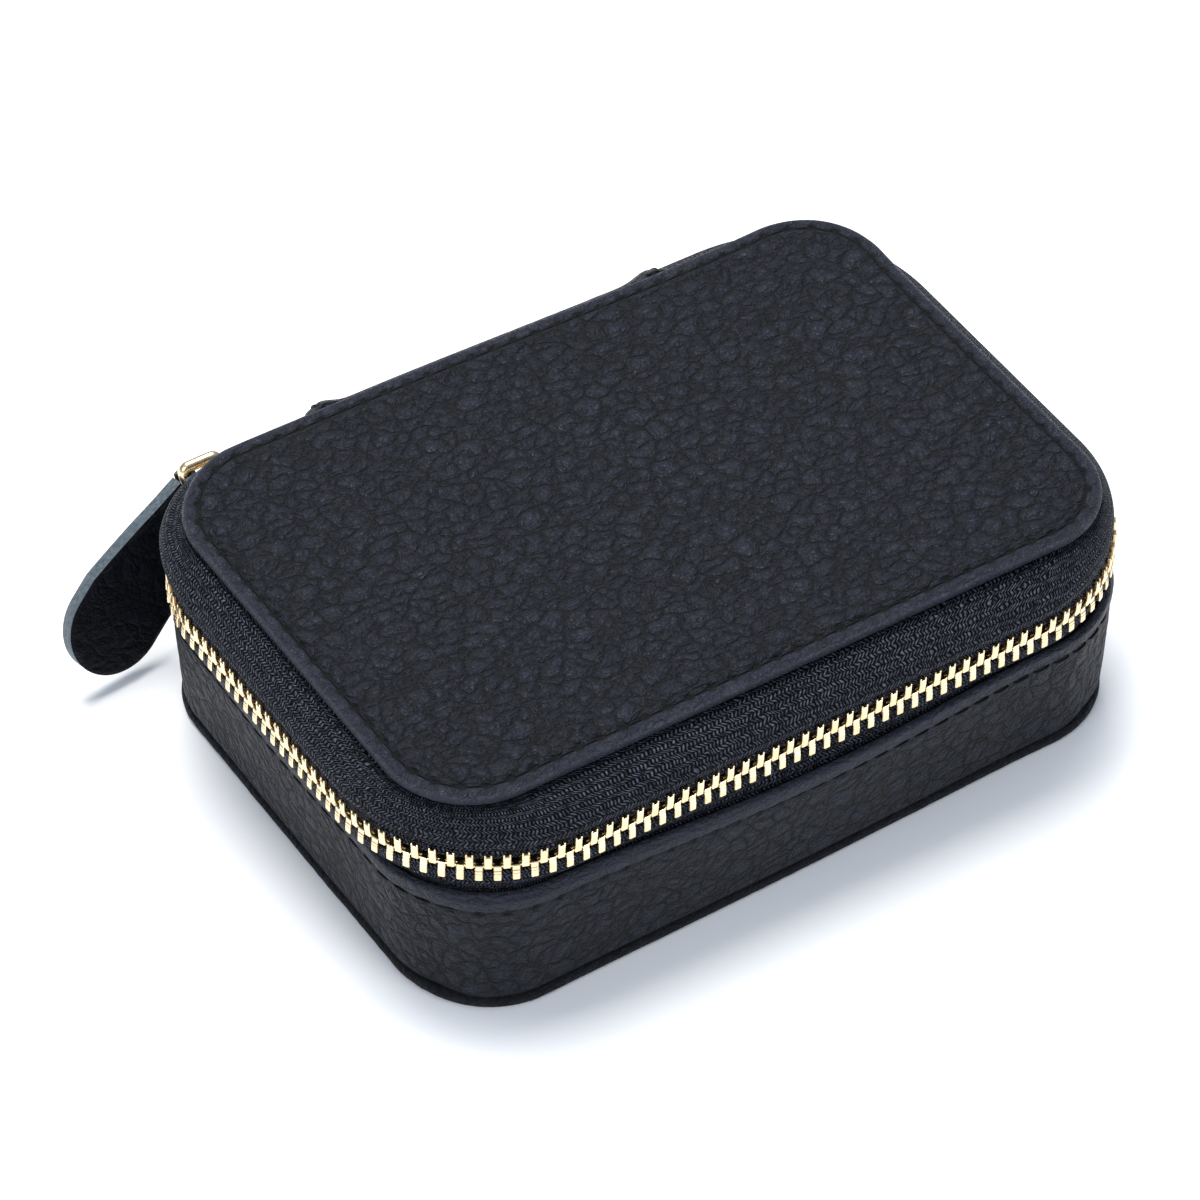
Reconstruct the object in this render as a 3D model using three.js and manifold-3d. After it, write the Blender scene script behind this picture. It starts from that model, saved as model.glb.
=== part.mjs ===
// Zip-around leather jewellery case, millimetres, +Z up.
// X runs along the case's long side, -Y is the front (mouth), +Y is the back
// (spine). The origin is on the floor under the middle of the base.
import * as THREE from "three";
import { mergeVertices } from "three/addons/utils/BufferGeometryUtils.js";
import Module from "manifold-3d";

const wasm = await Module();
wasm.setup();

// ---------------------------------------------------------------- dimensions
const HEIGHT = 40.0; // floor to the top of the lid panel
const PANEL = { a: 60.1, b: 40.2, R: 14.1 }; // lid panel half sizes, corner radius
const PANEL_T = 2.2; // lid panel thickness at its pressed border
const CHAIN = { a: 63.6, b: 44.66, R: 24.2 }; // centre line of the zip chain
const CHAIN_Z = 28.6; // height of the chain's middle
const PITCH = 2.54; // tooth pitch of one row
const TOOTH_R = 1.2; // half the chain's thickness
const TOOTH_H = 1.3; // height of a tooth over its bead
const BEAD_H = 1.15; // height of the bead and the tooth's legs
const ROW_GAP = 0.15; // half the gap between the two rows
const TAPE_T = 0.6; // woven tape
const RIM = { a: 62.2, b: 44.7, R: 19, k: [0.6, 0.3, 0.6, 2.2] }; // wall outer, at the rim
const FOOT = { a: 60.1, b: 43.0, R: 15, k: [0.3, 0.1, 0.1, 0.3] }; // wall outer, at the foot
const RIM_Z = 22.8; // top of the leather wall
const LEATHER_T = 1.4;
const BOARD_T = 1.8; // stiffener
const LINING_T = 0.8;
const GAP = 0.3; // clearance between separate pieces
const BOTTOM_T = 1.6; // bottom leather
const SPINE_HALF = 31.5; // spine leather half length
const CHAIN_END_X = 35.0; // where the teeth end at the back
const TAPE_END_X = 31.9; // where the tapes end, beside the spine
const HINGE = { y: 46.7, z: 31.4 }; // fold line of the spine
const CLOSED_L = -53.0; // closed end of the chain, left: from here to the spine
const CLOSED_R = 44.0; // closed end of the chain, right
const CLOSED_TOP = 33.65; // height of the closed ends' tape
const SLIDER_AT = 76; // degrees round the back-left corner, from -X towards +Y
const SLIDER_SPAN = 12.4; // half the slider's length, in degrees of that corner
const SLIDER_Z = [25.2, 31.6];
const PLATE_GAP = 1.55; // chain middle to the slider's plates
const PLATE_T = 1.0;
const CROWN_BAR = 1.75; // outer plate to the middle of the link's bar
const LINK_LEN = 5.4; // bar to bar
const LINK_W = 6.4; // outer width of the link
const LINK_R = 0.9; // corner radius of the link's centre line
const WIRE_R = 0.85; // link wire
const TAB = { L: 31.4, W: 16.5, T: 2.4, upper: 1.0, lower: 3.0, eye: 1.75 }; // leather pull tab
const ROLL_R = 5.1; // ring rolls
const ROLL_LEN = 62;
const FLOOR_Z = 5.3; // top of the floor lining

// ------------------------------------------------------------------- helpers
const CORNER_N = 10;
const SIDE_N = 8;

// A rounded rectangle with softly bowed sides, anticlockwise from the right
// side's lower end. k holds the bow of the right, back, left and front sides;
// d is an inward offset. Every ring made with it has the same point count.
function ring(s, d = 0) {
  const { a, b, R } = s;
  const k = s.k || [0, 0, 0, 0];
  const r = Math.max(R - d, 0.4);
  const cx = a - R, cy = b - R;
  const c = [[cx, -cy], [cx, cy], [-cx, cy], [-cx, -cy]];
  const out = [];
  for (let q = 0; q < 4; q++) {
    const n = [[1, 0], [0, 1], [-1, 0], [0, -1]][q];
    const p0 = c[q], p1 = c[(q + 1) % 4];
    for (let i = 0; i < SIDE_N; i++) {
      const t = i / SIDE_N, u = 2 * t - 1, w = k[q] * (1 - u * u) ** 2;
      out.push([p0[0] + (p1[0] - p0[0]) * t + n[0] * (r + w), p0[1] + (p1[1] - p0[1]) * t + n[1] * (r + w), n[0], n[1]]);
    }
    const a0 = (Math.PI / 2) * q;
    for (let i = 0; i < CORNER_N; i++) {
      const t = a0 + (Math.PI / 2) * (i / CORNER_N);
      const e = [Math.cos(t), Math.sin(t)];
      out.push([p1[0] + e[0] * r, p1[1] + e[1] * r, e[0], e[1]]);
    }
  }
  return out;
}
const mix = (p, q, t) => p.map((v, i) => v + (q[i] - v) * t);
const mixRings = (A, B, t) => A.map((p, i) => mix(p, B[i], t));

// Closed solid from rings of equal length. rings[j] is the j-th line of the
// section's closed outline, [x, y, z] per station. closed joins the last
// station to the first; otherwise both ends are capped across the section.
function loft(rings, closed, pairs = false) {
  const m = rings.length, n = rings[0].length;
  const pos = [], idx = [];
  for (let i = 0; i < n; i++) for (let j = 0; j < m; j++) pos.push(...rings[j][i]);
  const at = (i, j) => (i % n) * m + (j % m);
  const last = closed ? n : n - 1;
  for (let i = 0; i < last; i++)
    for (let j = 0; j < m; j++) {
      const a = at(i, j), b = at(i + 1, j), c = at(i + 1, j + 1), d = at(i, j + 1);
      idx.push(a, b, c, a, c, d);
    }
  if (!closed) {
    const cap = (i, flip) => {
      const tri = [];
      if (pairs) for (let j = 0; j < m / 2 - 1; j++) {
        const a = j, b = j + 1, c = m - 2 - j, d = m - 1 - j;
        tri.push([a, b, c], [a, c, d]);
      }
      else for (let j = 1; j < m - 1; j++) tri.push([0, j, j + 1]);
      for (const [a, b, c] of tri) flip ? idx.push(at(i, a), at(i, c), at(i, b)) : idx.push(at(i, a), at(i, b), at(i, c));
    };
    cap(0, false);
    cap(n - 1, true);
  }
  return outward(pos, idx);
}
function outward(pos, idx) {
  let v = 0;
  for (let t = 0; t < idx.length; t += 3) {
    const [a, b, c] = [0, 1, 2].map((k) => pos.slice(idx[t + k] * 3, idx[t + k] * 3 + 3));
    v += a[0] * (b[1] * c[2] - b[2] * c[1]) - a[1] * (b[0] * c[2] - b[2] * c[0]) + a[2] * (b[0] * c[1] - b[1] * c[0]);
  }
  if (v < 0) for (let t = 0; t < idx.length; t += 3) [idx[t + 1], idx[t + 2]] = [idx[t + 2], idx[t + 1]];
  const g = new THREE.BufferGeometry();
  g.setAttribute("position", new THREE.Float32BufferAttribute(pos, 3));
  g.setIndex(idx);
  return g;
}
const z3 = (r, z) => r.map((p) => [p[0], p[1], z]);

// A solid slab or bowl made of stacked rings, with flat ends closed by fans.
function stack(levels) {
  const n = levels[0].length, pos = [], idx = [];
  for (const r of levels) for (const p of r) pos.push(...p);
  for (let l = 0; l + 1 < levels.length; l++)
    for (let i = 0; i < n; i++) {
      const a = l * n + i, b = l * n + ((i + 1) % n);
      idx.push(a, b, b + n, a, b + n, a + n);
    }
  const c0 = pos.length / 3;
  const z0 = levels[0][0][2], z1 = levels[levels.length - 1][0][2];
  pos.push(0, 0, z0, 0, 0, z1);
  for (let i = 0; i < n; i++) {
    idx.push(c0, (i + 1) % n, i);
    const o = (levels.length - 1) * n;
    idx.push(c0 + 1, o + i, o + ((i + 1) % n));
  }
  return outward(pos, idx);
}
function slab(s, z0, z1, round = 0, d = 0) {
  const L = [];
  if (round > 0) {
    L.push(z3(ring(s, d + round * 0.6), z0), z3(ring(s, d), z0 + round * 0.6), z3(ring(s, d), z1 - round), z3(ring(s, d + round * 0.35), z1 - round * 0.35), z3(ring(s, d + round), z1));
  } else L.push(z3(ring(s, d), z0), z3(ring(s, d), z1));
  return stack(L);
}
function solid(geo) {
  const g = geo.clone();
  g.deleteAttribute("normal");
  g.deleteAttribute("uv");
  const w = mergeVertices(g, 1e-4);
  return new wasm.Manifold(new wasm.Mesh({ numProp: 3, vertProperties: new Float32Array(w.attributes.position.array), triVerts: new Uint32Array(w.index.array) }));
}
function geometry(man) {
  const m = man.getMesh();
  const g = new THREE.BufferGeometry();
  const p = new Float32Array((m.vertProperties.length / m.numProp) * 3);
  for (let i = 0; i < p.length / 3; i++) for (let k = 0; k < 3; k++) p[i * 3 + k] = m.vertProperties[i * m.numProp + k];
  g.setAttribute("position", new THREE.BufferAttribute(p, 3));
  g.setIndex(new THREE.BufferAttribute(new Uint32Array(m.triVerts), 1));
  return g;
}
function boxAt(x0, x1, y0, y1, z0, z1) {
  const g = new THREE.BoxGeometry(x1 - x0, y1 - y0, z1 - z0);
  g.translate((x0 + x1) / 2, (y0 + y1) / 2, (z0 + z1) / 2);
  return g;
}

// The chain's centre line as lines and arcs, anticlockwise from the back, with
// its length, so that a station can be asked for by distance.
const CC = { x: CHAIN.a - CHAIN.R, y: CHAIN.b - CHAIN.R };
const runs = [
  { line: [[0, CHAIN.b], [-CC.x, CHAIN.b]], n: [0, 1] },
  { arc: [-CC.x, CC.y], from: 90 },
  { line: [[-CHAIN.a, CC.y], [-CHAIN.a, -CC.y]], n: [-1, 0] },
  { arc: [-CC.x, -CC.y], from: 180 },
  { line: [[-CC.x, -CHAIN.b], [CC.x, -CHAIN.b]], n: [0, -1] },
  { arc: [CC.x, -CC.y], from: 270 },
  { line: [[CHAIN.a, -CC.y], [CHAIN.a, CC.y]], n: [1, 0] },
  { arc: [CC.x, CC.y], from: 0 },
  { line: [[CC.x, CHAIN.b], [0, CHAIN.b]], n: [0, 1] },
];
for (const r of runs) r.len = r.line ? Math.hypot(r.line[1][0] - r.line[0][0], r.line[1][1] - r.line[0][1]) : (Math.PI / 2) * CHAIN.R;
const CHAIN_LEN = runs.reduce((s, r) => s + r.len, 0);
function chainAt(s) {
  for (const r of runs) {
    if (s <= r.len + 1e-9) {
      if (r.line) {
        const t = s / r.len;
        return [...mix(r.line[0], r.line[1], t), ...r.n];
      }
      const a = ((r.from + (90 * s) / r.len) * Math.PI) / 180;
      return [r.arc[0] + CHAIN.R * Math.cos(a), r.arc[1] + CHAIN.R * Math.sin(a), Math.cos(a), Math.sin(a)];
    }
    s -= r.len;
  }
  return [0, CHAIN.b, 0, 1];
}
// distance along the chain where it crosses x in its first (left, back) or last
// (right, back) quarter
function chainS(x, left) {
  let lo = left ? 0 : CHAIN_LEN * 0.75, hi = left ? CHAIN_LEN * 0.25 : CHAIN_LEN;
  for (let i = 0; i < 60; i++) {
    const m = (lo + hi) / 2;
    const on = chainAt(m)[0];
    if (on > x) lo = m;
    else hi = m;
  }
  return (lo + hi) / 2;
}
// One row of teeth on its bead: a comb whose height falls and rises once a
// pitch. up is +1 for the upper row, -1 for the lower row.
function teeth(s0, s1, up) {
  const base = CHAIN_Z + up * ROW_GAP;
  const R = [[], [], [], []];
  const half = PITCH / 2;
  const first = Math.ceil(s0 / half), last = Math.floor(s1 / half);
  for (let q = first; q <= last; q++) {
    const tooth = (q + (up > 0 ? 0 : 1)) % 2 === 0;
    const [x, y, nx, ny] = chainAt(q * half);
    const w = tooth ? TOOTH_R : 0.85;
    const z = base + up * (tooth ? 0 : TOOTH_H * 0.8), zb = base + up * (TOOTH_H + BEAD_H);
    R[0].push([x + nx * w, y + ny * w, z]);
    R[1].push([x + nx * 0.85, y + ny * 0.85, zb]);
    R[2].push([x - nx * 0.85, y - ny * 0.85, zb]);
    R[3].push([x - nx * w, y - ny * w, z]);
  }
  return loft(R, false);
}

// ------------------------------------------------------------------ materials
const black = 0x1c1d20;
const mat = (color, roughness, metalness = 0) => new THREE.MeshStandardMaterial({ color, roughness, metalness });
const M = {
  leather: mat(black, 0.5),
  suede: mat(0x2a2c30, 0.9),
  tape: mat(0x17181b, 0.85),
  gold: mat(0xe3cda0, 0.3, 1),
  board: mat(0x8a8478, 0.9),
  velvet: mat(0x3a3c42, 0.95),
  roll: mat(0x43464d, 0.95),
  elastic: mat(0x24262a, 0.85),
};
const part = new THREE.Group();
function add(name, geo, material) {
  const m = new THREE.Mesh(geo, material);
  m.name = name;
  part.add(m);
  return m;
}

// ------------------------------------------------------------------- base
// bottom leather: its edge stands 0.4 mm proud round the wall's foot
add("base_bottom_leather", slab({ ...FOOT, a: FOOT.a + 0.4, b: FOOT.b + 0.4, R: FOOT.R + 0.4 }, 0, BOTTOM_T, 0.5), M.leather);

// leather wall: open ring from the foot to the turned rim
const wallAt = (z, d) => mixRings(ring(FOOT, d), ring(RIM, d), z / RIM_Z);
const W0 = BOTTOM_T + GAP;
const wallLine = (z, d) => z3(wallAt(z, d), z);
add("base_wall_leather", loft([
  wallLine(W0, 0), wallLine(11, 0), wallLine(RIM_Z - 0.5, 0), wallLine(RIM_Z, 0.4),
  wallLine(RIM_Z, LEATHER_T - 0.4), wallLine(RIM_Z - 0.5, LEATHER_T), wallLine(11, LEATHER_T), wallLine(W0, LEATHER_T),
], true), M.leather);

// stiffeners: a wall strip and a floor board
const D_BOARD = LEATHER_T + GAP + TAPE_T + GAP + 0.1;
add("base_wall_board", loft([
  wallLine(W0, D_BOARD), wallLine(12, D_BOARD), wallLine(RIM_Z + 0.4, D_BOARD),
  wallLine(RIM_Z + 0.4, D_BOARD + BOARD_T), wallLine(12, D_BOARD + BOARD_T), wallLine(W0, D_BOARD + BOARD_T),
], true), M.board);
const D_IN = D_BOARD + BOARD_T + GAP;
const footIn = (d) => ({ a: FOOT.a - d, b: FOOT.b - d, R: FOOT.R - d, k: FOOT.k });
add("base_floor_board", slab(footIn(D_IN), W0, W0 + 1.8), M.board);
// lining: a wall skin and a padded floor
add("base_lining_wall", loft([
  wallLine(W0 + 2.1, D_IN), wallLine(12, D_IN), wallLine(RIM_Z + 0.7, D_IN), wallLine(RIM_Z + 1.1, D_IN + 0.2),
  wallLine(RIM_Z + 1.1, D_IN + LINING_T - 0.2), wallLine(RIM_Z + 0.7, D_IN + LINING_T), wallLine(12, D_IN + LINING_T), wallLine(W0 + 2.1, D_IN + LINING_T),
], true), M.velvet);
const D_FLOOR = D_IN + LINING_T + GAP;
add("base_lining_floor", slab(footIn(D_FLOOR), W0 + 1.8 + GAP, FLOOR_Z), M.velvet);

// ---------------------------------------------------------------- zip tapes
// stations shared by chain, panel and wall lines: the left half of the back
// side, round the case, to the right half of the back side
function along(r) {
  const n = r.length, back0 = SIDE_N + CORNER_N; // first point of the back side
  const out = [];
  for (let i = 0; i <= n; i++) out.push(r[(back0 + SIDE_N / 2 + i) % n]);
  return out;
}
// an open line that starts and ends at |x| = end on the back side, just before
// and after the back corners, so that every line has the same point count
function openLine(r, end) {
  const q = along(r), i = SIDE_N / 2, j = q.length - 1 - SIDE_N / 2;
  const cut = (p, o) => mix(p, o, (Math.abs(p[0]) - end) / (Math.abs(p[0]) - Math.abs(o[0])));
  return [cut(q[i], q[i - 1]), ...q.slice(i, j + 1), cut(q[j], q[j + 1])];
}
const zipRing = ring(CHAIN);
const edgeRing = ring(PANEL, 0.7);
const flangeRing = ring(PANEL, 5.0);
// the upper tape: [share of the way from chain to panel edge, z, inward shift,
// downward shift] of its outer line; the inner line is shifted by those
const UP = [[-0.05, 31.5, TAPE_T, 0], [-0.2, 33.0, TAPE_T, 0], [-0.08, 34.4, TAPE_T, 0.06], [0.22, 35.7, TAPE_T * 0.9, 0.3], [0.6, 36.8, TAPE_T * 0.55, 0.5], [1, 37.45, 0.1, TAPE_T]];
function upperTape() {
  const outer = [], inner = [];
  for (const [t, z, h, v] of UP) {
    const r = mixRings(zipRing, edgeRing, t);
    outer.push(openLine(r.map((p) => [p[0] + p[2] * TAPE_T / 2 * (1 - t), p[1] + p[3] * TAPE_T / 2 * (1 - t), z]), TAPE_END_X));
    inner.push(openLine(r.map((p) => [p[0] - p[2] * (h - TAPE_T / 2 * (1 - t)), p[1] - p[3] * (h - TAPE_T / 2 * (1 - t)), z - v]), TAPE_END_X));
  }
  outer.push(openLine(z3(flangeRing, 37.45), TAPE_END_X));
  inner.push(openLine(z3(flangeRing, 37.45 - TAPE_T), TAPE_END_X));
  return loft([...outer, ...inner.reverse()], false, true);
}
const tapeUp = solid(upperTape());
const keepL = (g) => solid(boxAt(CLOSED_L + g, 0, 0, 60, 20, CLOSED_TOP - g));
const keepR = (g) => solid(boxAt(0, CLOSED_R - g, 0, 60, 20, CLOSED_TOP - g));
add("upper_tape", geometry(tapeUp.subtract(keepL(-0.15)).subtract(keepR(-0.15))), M.tape);
add("closed_end_tape_left", geometry(tapeUp.intersect(keepL(0.15))), M.tape);
add("closed_end_tape_right", geometry(tapeUp.intersect(keepR(0.15))), M.tape);

// the lower tape: chain, then down behind the leather wall's rim
const LOW_Z = CHAIN_Z - ROW_GAP - TOOTH_H - BEAD_H - GAP;
function lowerTape() {
  const rimIn = (z) => wallAt(Math.min(z, RIM_Z), LEATHER_T + GAP);
  const rows = [[0, LOW_Z], [0.25, 24.6], [1, 22.6], [1, 17.0]];
  const outer = [], inner = [];
  for (const [t, z] of rows) {
    const c = zipRing.map((p) => [p[0] + p[2] * TAPE_T / 2, p[1] + p[3] * TAPE_T / 2, p[2], p[3]]);
    const r = mixRings(c, rimIn(z), t);
    outer.push(openLine(z3(r, z), TAPE_END_X));
    inner.push(openLine(r.map((p) => [p[0] - p[2] * TAPE_T, p[1] - p[3] * TAPE_T, z]), TAPE_END_X));
  }
  return loft([...outer, ...inner.reverse()], false, true);
}
add("lower_tape", lowerTape(), M.tape);

// ------------------------------------------------------------------- teeth
const sL0 = chainS(-CHAIN_END_X, true), sL1 = chainS(CLOSED_L, true);
const sR1 = chainS(CHAIN_END_X, false), sR0 = chainS(CLOSED_R, false);
add("lower_teeth", teeth(sL0, sR1, -1), M.gold);
add("upper_teeth", teeth(sL1 + 1.6, sR0 - 0.3, 1), M.gold);
add("closed_end_teeth_left", teeth(sL0, sL1 - 0.2, 1), M.gold);
add("closed_end_teeth_right", teeth(sR0 + 1.0, sR1, 1), M.gold);

// stops: a squared metal clip across both rows at each end of the chain
add("zip_stop_left", boxAt(-34.5, -33.3, CHAIN.b - 1.3, CHAIN.b + 1.3, CHAIN_Z - 2.9, CHAIN_Z + 2.9), M.gold);
add("zip_stop_right", boxAt(33.3, 34.5, CHAIN.b - 1.3, CHAIN.b + 1.3, CHAIN_Z - 2.9, CHAIN_Z + 2.9), M.gold);

// ------------------------------------------------------------------- spine
// one leather strip in life, in two pieces that meet at the fold line
function strip(x, pts, name) {
  // pts: closed outline in (y, z)
  const s = new THREE.Shape(pts.map(([y, z]) => new THREE.Vector2(y, z)));
  const g = new THREE.ExtrudeGeometry(s, { depth: 2 * x, bevelEnabled: false });
  // shape x -> +Y, shape y -> +Z, extrusion -> +X
  const m = new THREE.Matrix4().makeBasis(new THREE.Vector3(0, 1, 0), new THREE.Vector3(0, 0, 1), new THREE.Vector3(1, 0, 0));
  g.applyMatrix4(m);
  g.translate(-x, 0, 0);
  return g;
}
const SP = RIM.b + RIM.k[1] + GAP; // inner face of the spine leather, over the wall
add("spine_lower", strip(SPINE_HALF, [[SP + 0.05, 13], [SP + 1.3, 13], [SP + 1.6, 15], [SP + 1.6, 28.4], [HINGE.y, 31.1], [HINGE.y - 1.5, 31.1], [SP + 0.05, 28.4]]), M.leather);
add("spine_upper", strip(SPINE_HALF, [[HINGE.y - 1.5, 31.7], [HINGE.y, 31.7], [45.8, 33.3], [44.3, 35.0], [42.8, 36.7], [41.8, 37.45], [36.2, 37.45], [36.2, 36.75], [40.9, 36.7], [41.6, 36.1], [43.1, 34.4], [44.4, 32.9]]), M.leather);

// ------------------------------------------------------------------- lid
const ZP = HEIGHT - PANEL_T;
add("lid_panel_leather", slab(PANEL, ZP, HEIGHT, 0.8), M.leather);
add("lid_board", slab(PANEL, 35.9, 37.4, 0, 5.4), M.board);
add("lid_lining", slab(PANEL, 34.7, 35.6, 0.3, 3.6), M.velvet);

// lid pocket: a flat pouch panel under the lining with an elastic mouth
const PK = { x: 46, y0: -33.5, y1: 2 };
const pocket = new THREE.Shape();
pocket.moveTo(-PK.x, PK.y1);
pocket.lineTo(-PK.x, PK.y0 + 9);
pocket.quadraticCurveTo(-PK.x, PK.y0, -PK.x + 9, PK.y0);
pocket.lineTo(PK.x - 9, PK.y0);
pocket.quadraticCurveTo(PK.x, PK.y0, PK.x, PK.y0 + 9);
pocket.lineTo(PK.x, PK.y1);
pocket.closePath();
const pg = new THREE.ExtrudeGeometry(pocket, { depth: 1.5, bevelEnabled: false, curveSegments: 6 });
pg.translate(0, 0, 32.9);
add("lid_pocket", pg, M.velvet);
const band = new THREE.CapsuleGeometry(1.3, 2 * PK.x - 2.6, 4, 10);
band.rotateZ(Math.PI / 2);
band.translate(0, PK.y1 + 1.8, 33.1);
add("pocket_elastic", band, M.elastic);

// necklace straps at the back of the lid, each with a snap cap
[-30, 0, 30].forEach((x, i) => {
  add(`necklace_strap_${i + 1}`, boxAt(x - 4, x + 4, 11, 29, 33.2, 34.4), M.leather);
  const cap = new THREE.CylinderGeometry(2.3, 2.9, 0.9, 16);
  cap.rotateX(-Math.PI / 2);
  cap.translate(x, 15.5, 32.4);
  add(`snap_cap_${i + 1}`, cap, M.gold);
});

// --------------------------------------------------------------- interior
const IN_X = FOOT.a - D_FLOOR - 0.3, IN_Y = FOOT.b - D_FLOOR - 0.3;
const PART_X = 8.2; // the long partition's middle
const TOP_Z = 20.5;
add("partition_long", boxAt(PART_X - 1.1, PART_X + 1.1, -IN_Y, IN_Y, FLOOR_Z + GAP, TOP_Z), M.velvet);
add("partition_cross", boxAt(-IN_X, PART_X - 1.4, -1.0, 1.0, FLOOR_Z + GAP, TOP_Z - 1), M.velvet);
add("partition_short", boxAt(-26, -24, 1.3, IN_Y, FLOOR_Z + GAP, TOP_Z - 1), M.velvet);
// ring tray: a thin base that the rolls sit on
const TR = [PART_X + 1.6, IN_X - 0.9];
add("ring_tray", boxAt(TR[0], TR[1], -ROLL_LEN / 2 - 1, ROLL_LEN / 2 + 1, FLOOR_Z + GAP, FLOOR_Z + 1.8), M.velvet);
for (let i = 0; i < 4; i++) {
  const g = new THREE.CapsuleGeometry(ROLL_R, ROLL_LEN - 2 * ROLL_R, 5, 16);
  g.translate(TR[0] + (TR[1] - TR[0]) / 2 + (i - 1.5) * (2 * ROLL_R + 0.4), 0, FLOOR_Z + 2.1 + ROLL_R);
  add(`ring_roll_${i + 1}`, g, M.roll);
}

// --------------------------------------------------------------- slider
const SC = [-CC.x, CC.y]; // centre of the back-left corner
const ang = (deg) => Math.PI - (deg * Math.PI) / 180;
function plate(r0, r1, z0, z1, a0, a1, n = 8, soft = 0.5) {
  // a curved plate with softened ends: section corners r0, r1 at z0, z1
  const R = [[], [], [], []];
  for (let i = 0; i <= n; i++) {
    const t = i / n, a = ang(a0 + (a1 - a0) * t);
    const e = Math.min(t, 1 - t) < 1e-6 ? soft : 0; // shoulders drawn in at both ends
    const c = [Math.cos(a), Math.sin(a)];
    const P = (r, z) => [SC[0] + c[0] * r, SC[1] + c[1] * r, z];
    R[0].push(P(r1, z0 + e)); R[1].push(P(r1, z1 - e)); R[2].push(P(r0, z1 - e)); R[3].push(P(r0, z0 + e));
  }
  return loft(R, false);
}
const aT = SLIDER_AT - SLIDER_SPAN, aN = SLIDER_AT + SLIDER_SPAN;
const RO = CHAIN.R + PLATE_GAP;
const zT = SLIDER_Z;
// puller frame: bar direction and link direction
const BAR = new THREE.Vector3(-0.17, 0.19, 0.967).normalize();
const LINK = new THREE.Vector3(-0.97, 0.2, -0.1);
LINK.addScaledVector(BAR, -LINK.dot(BAR)).normalize();
const OUTN = new THREE.Vector3().crossVectors(BAR, LINK).normalize(); // square to the link
const CROWN_AT = SLIDER_AT + 6.5;
const CROWN_Z = CHAIN_Z - 0.3;
const aC = ang(CROWN_AT);
const P1 = new THREE.Vector3(SC[0] + Math.cos(aC) * (RO + PLATE_T + CROWN_BAR), SC[1] + Math.sin(aC) * (RO + PLATE_T + CROWN_BAR), CROWN_Z);
const P2 = P1.clone().addScaledVector(LINK, LINK_LEN);

// crown: an arch on the outer plate, open across, that the link's bar lies in
const crownOut = plate(RO + PLATE_T - 0.1, RO + PLATE_T + CROWN_BAR + WIRE_R + 0.9, CROWN_Z - 1.0, CROWN_Z + 1.0, CROWN_AT - 4.7, CROWN_AT + 5.5, 6, 0.25);
const tunnel = new THREE.CylinderGeometry(WIRE_R + 0.35, WIRE_R + 0.35, 12, 20);
tunnel.applyQuaternion(new THREE.Quaternion().setFromUnitVectors(new THREE.Vector3(0, 1, 0), BAR));
tunnel.translate(P1.x, P1.y, P1.z);
const outer = solid(plate(RO, RO + PLATE_T, zT[0], zT[1], aT, aN, 8, 1.3)).add(solid(crownOut)).subtract(solid(tunnel));
add("slider_outer", geometry(outer), M.gold);
add("slider_inner", plate(CHAIN.R - PLATE_GAP - PLATE_T, CHAIN.R - PLATE_GAP, zT[0], zT[1], aT, aN, 8, 1.3), M.gold);

// puller link: a rounded rectangular loop of wire; its bars lie along BAR
class Loop extends THREE.Curve {
  getPoint(t, out = new THREE.Vector3()) {
    const hl = LINK_LEN / 2, hw = LINK_W / 2 - WIRE_R, r = LINK_R;
    const segs = [];
    const cs = [[hl - r, hw - r, 0], [-hl + r, hw - r, 90], [-hl + r, -hw + r, 180], [hl - r, -hw + r, 270]];
    const A = (Math.PI / 2) * r;
    const sL = [2 * (hl - r), 2 * (hw - r), 2 * (hl - r), 2 * (hw - r)];
    let total = 0;
    for (let i = 0; i < 4; i++) { segs.push(["c", i, A], ["l", i, sL[i]]); total += A + sL[i]; }
    let s = (t % 1) * total;
    for (const [k, i, len] of segs) {
      if (s <= len + 1e-9) {
        const [cx, cy, a0] = cs[i];
        let x, y;
        if (k === "c") { const a = ((a0 + (90 * s) / len) * Math.PI) / 180; x = cx + r * Math.cos(a); y = cy + r * Math.sin(a); }
        else {
          const a = ((a0 + 90) * Math.PI) / 180; const [nx, ny] = cs[(i + 1) % 4];
          const p = [cx + r * Math.cos(a), cy + r * Math.sin(a)], q = [nx + r * Math.cos(a), ny + r * Math.sin(a)];
          x = p[0] + ((q[0] - p[0]) * s) / len; y = p[1] + ((q[1] - p[1]) * s) / len;
        }
        return out.copy(P1).addScaledVector(LINK, hl + x).addScaledVector(BAR, y);
      }
      s -= len;
    }
    return out.copy(P2);
  }
}
function wireLoop(curve, n, m, r) {
  const rows = Array.from({ length: m }, () => []);
  for (let i = 0; i < n; i++) {
    const p = curve.getPoint(i / n), q = curve.getPoint(((i + 0.5) % n) / n), o = curve.getPoint(((i - 0.5 + n) % n) / n);
    const tan = q.clone().sub(o).normalize();
    const side = new THREE.Vector3().crossVectors(tan, OUTN).normalize();
    for (let j = 0; j < m; j++) {
      const a = (2 * Math.PI * j) / m;
      const v = p.clone().addScaledVector(side, r * Math.cos(a)).addScaledVector(OUTN, r * Math.sin(a));
      rows[j].push([v.x, v.y, v.z]);
    }
  }
  return loft(rows, true);
}
add("puller_link", wireLoop(new Loop(), 40, 8, WIRE_R), M.gold);

// pull tab: a strap in its own plane, an eye round the link's outer bar, a neck
// and a round-ended body that droops from it
const TL = new THREE.Vector3(-0.75, -0.2, -0.63).normalize();
const TN = new THREE.Vector3(0.068, -0.972, 0.22);
TN.addScaledVector(TL, -TN.dot(TL)).normalize();
const TW = new THREE.Vector3().crossVectors(TL, TN).normalize(); // across the strap
if (TW.z > 0) TW.negate();
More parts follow.
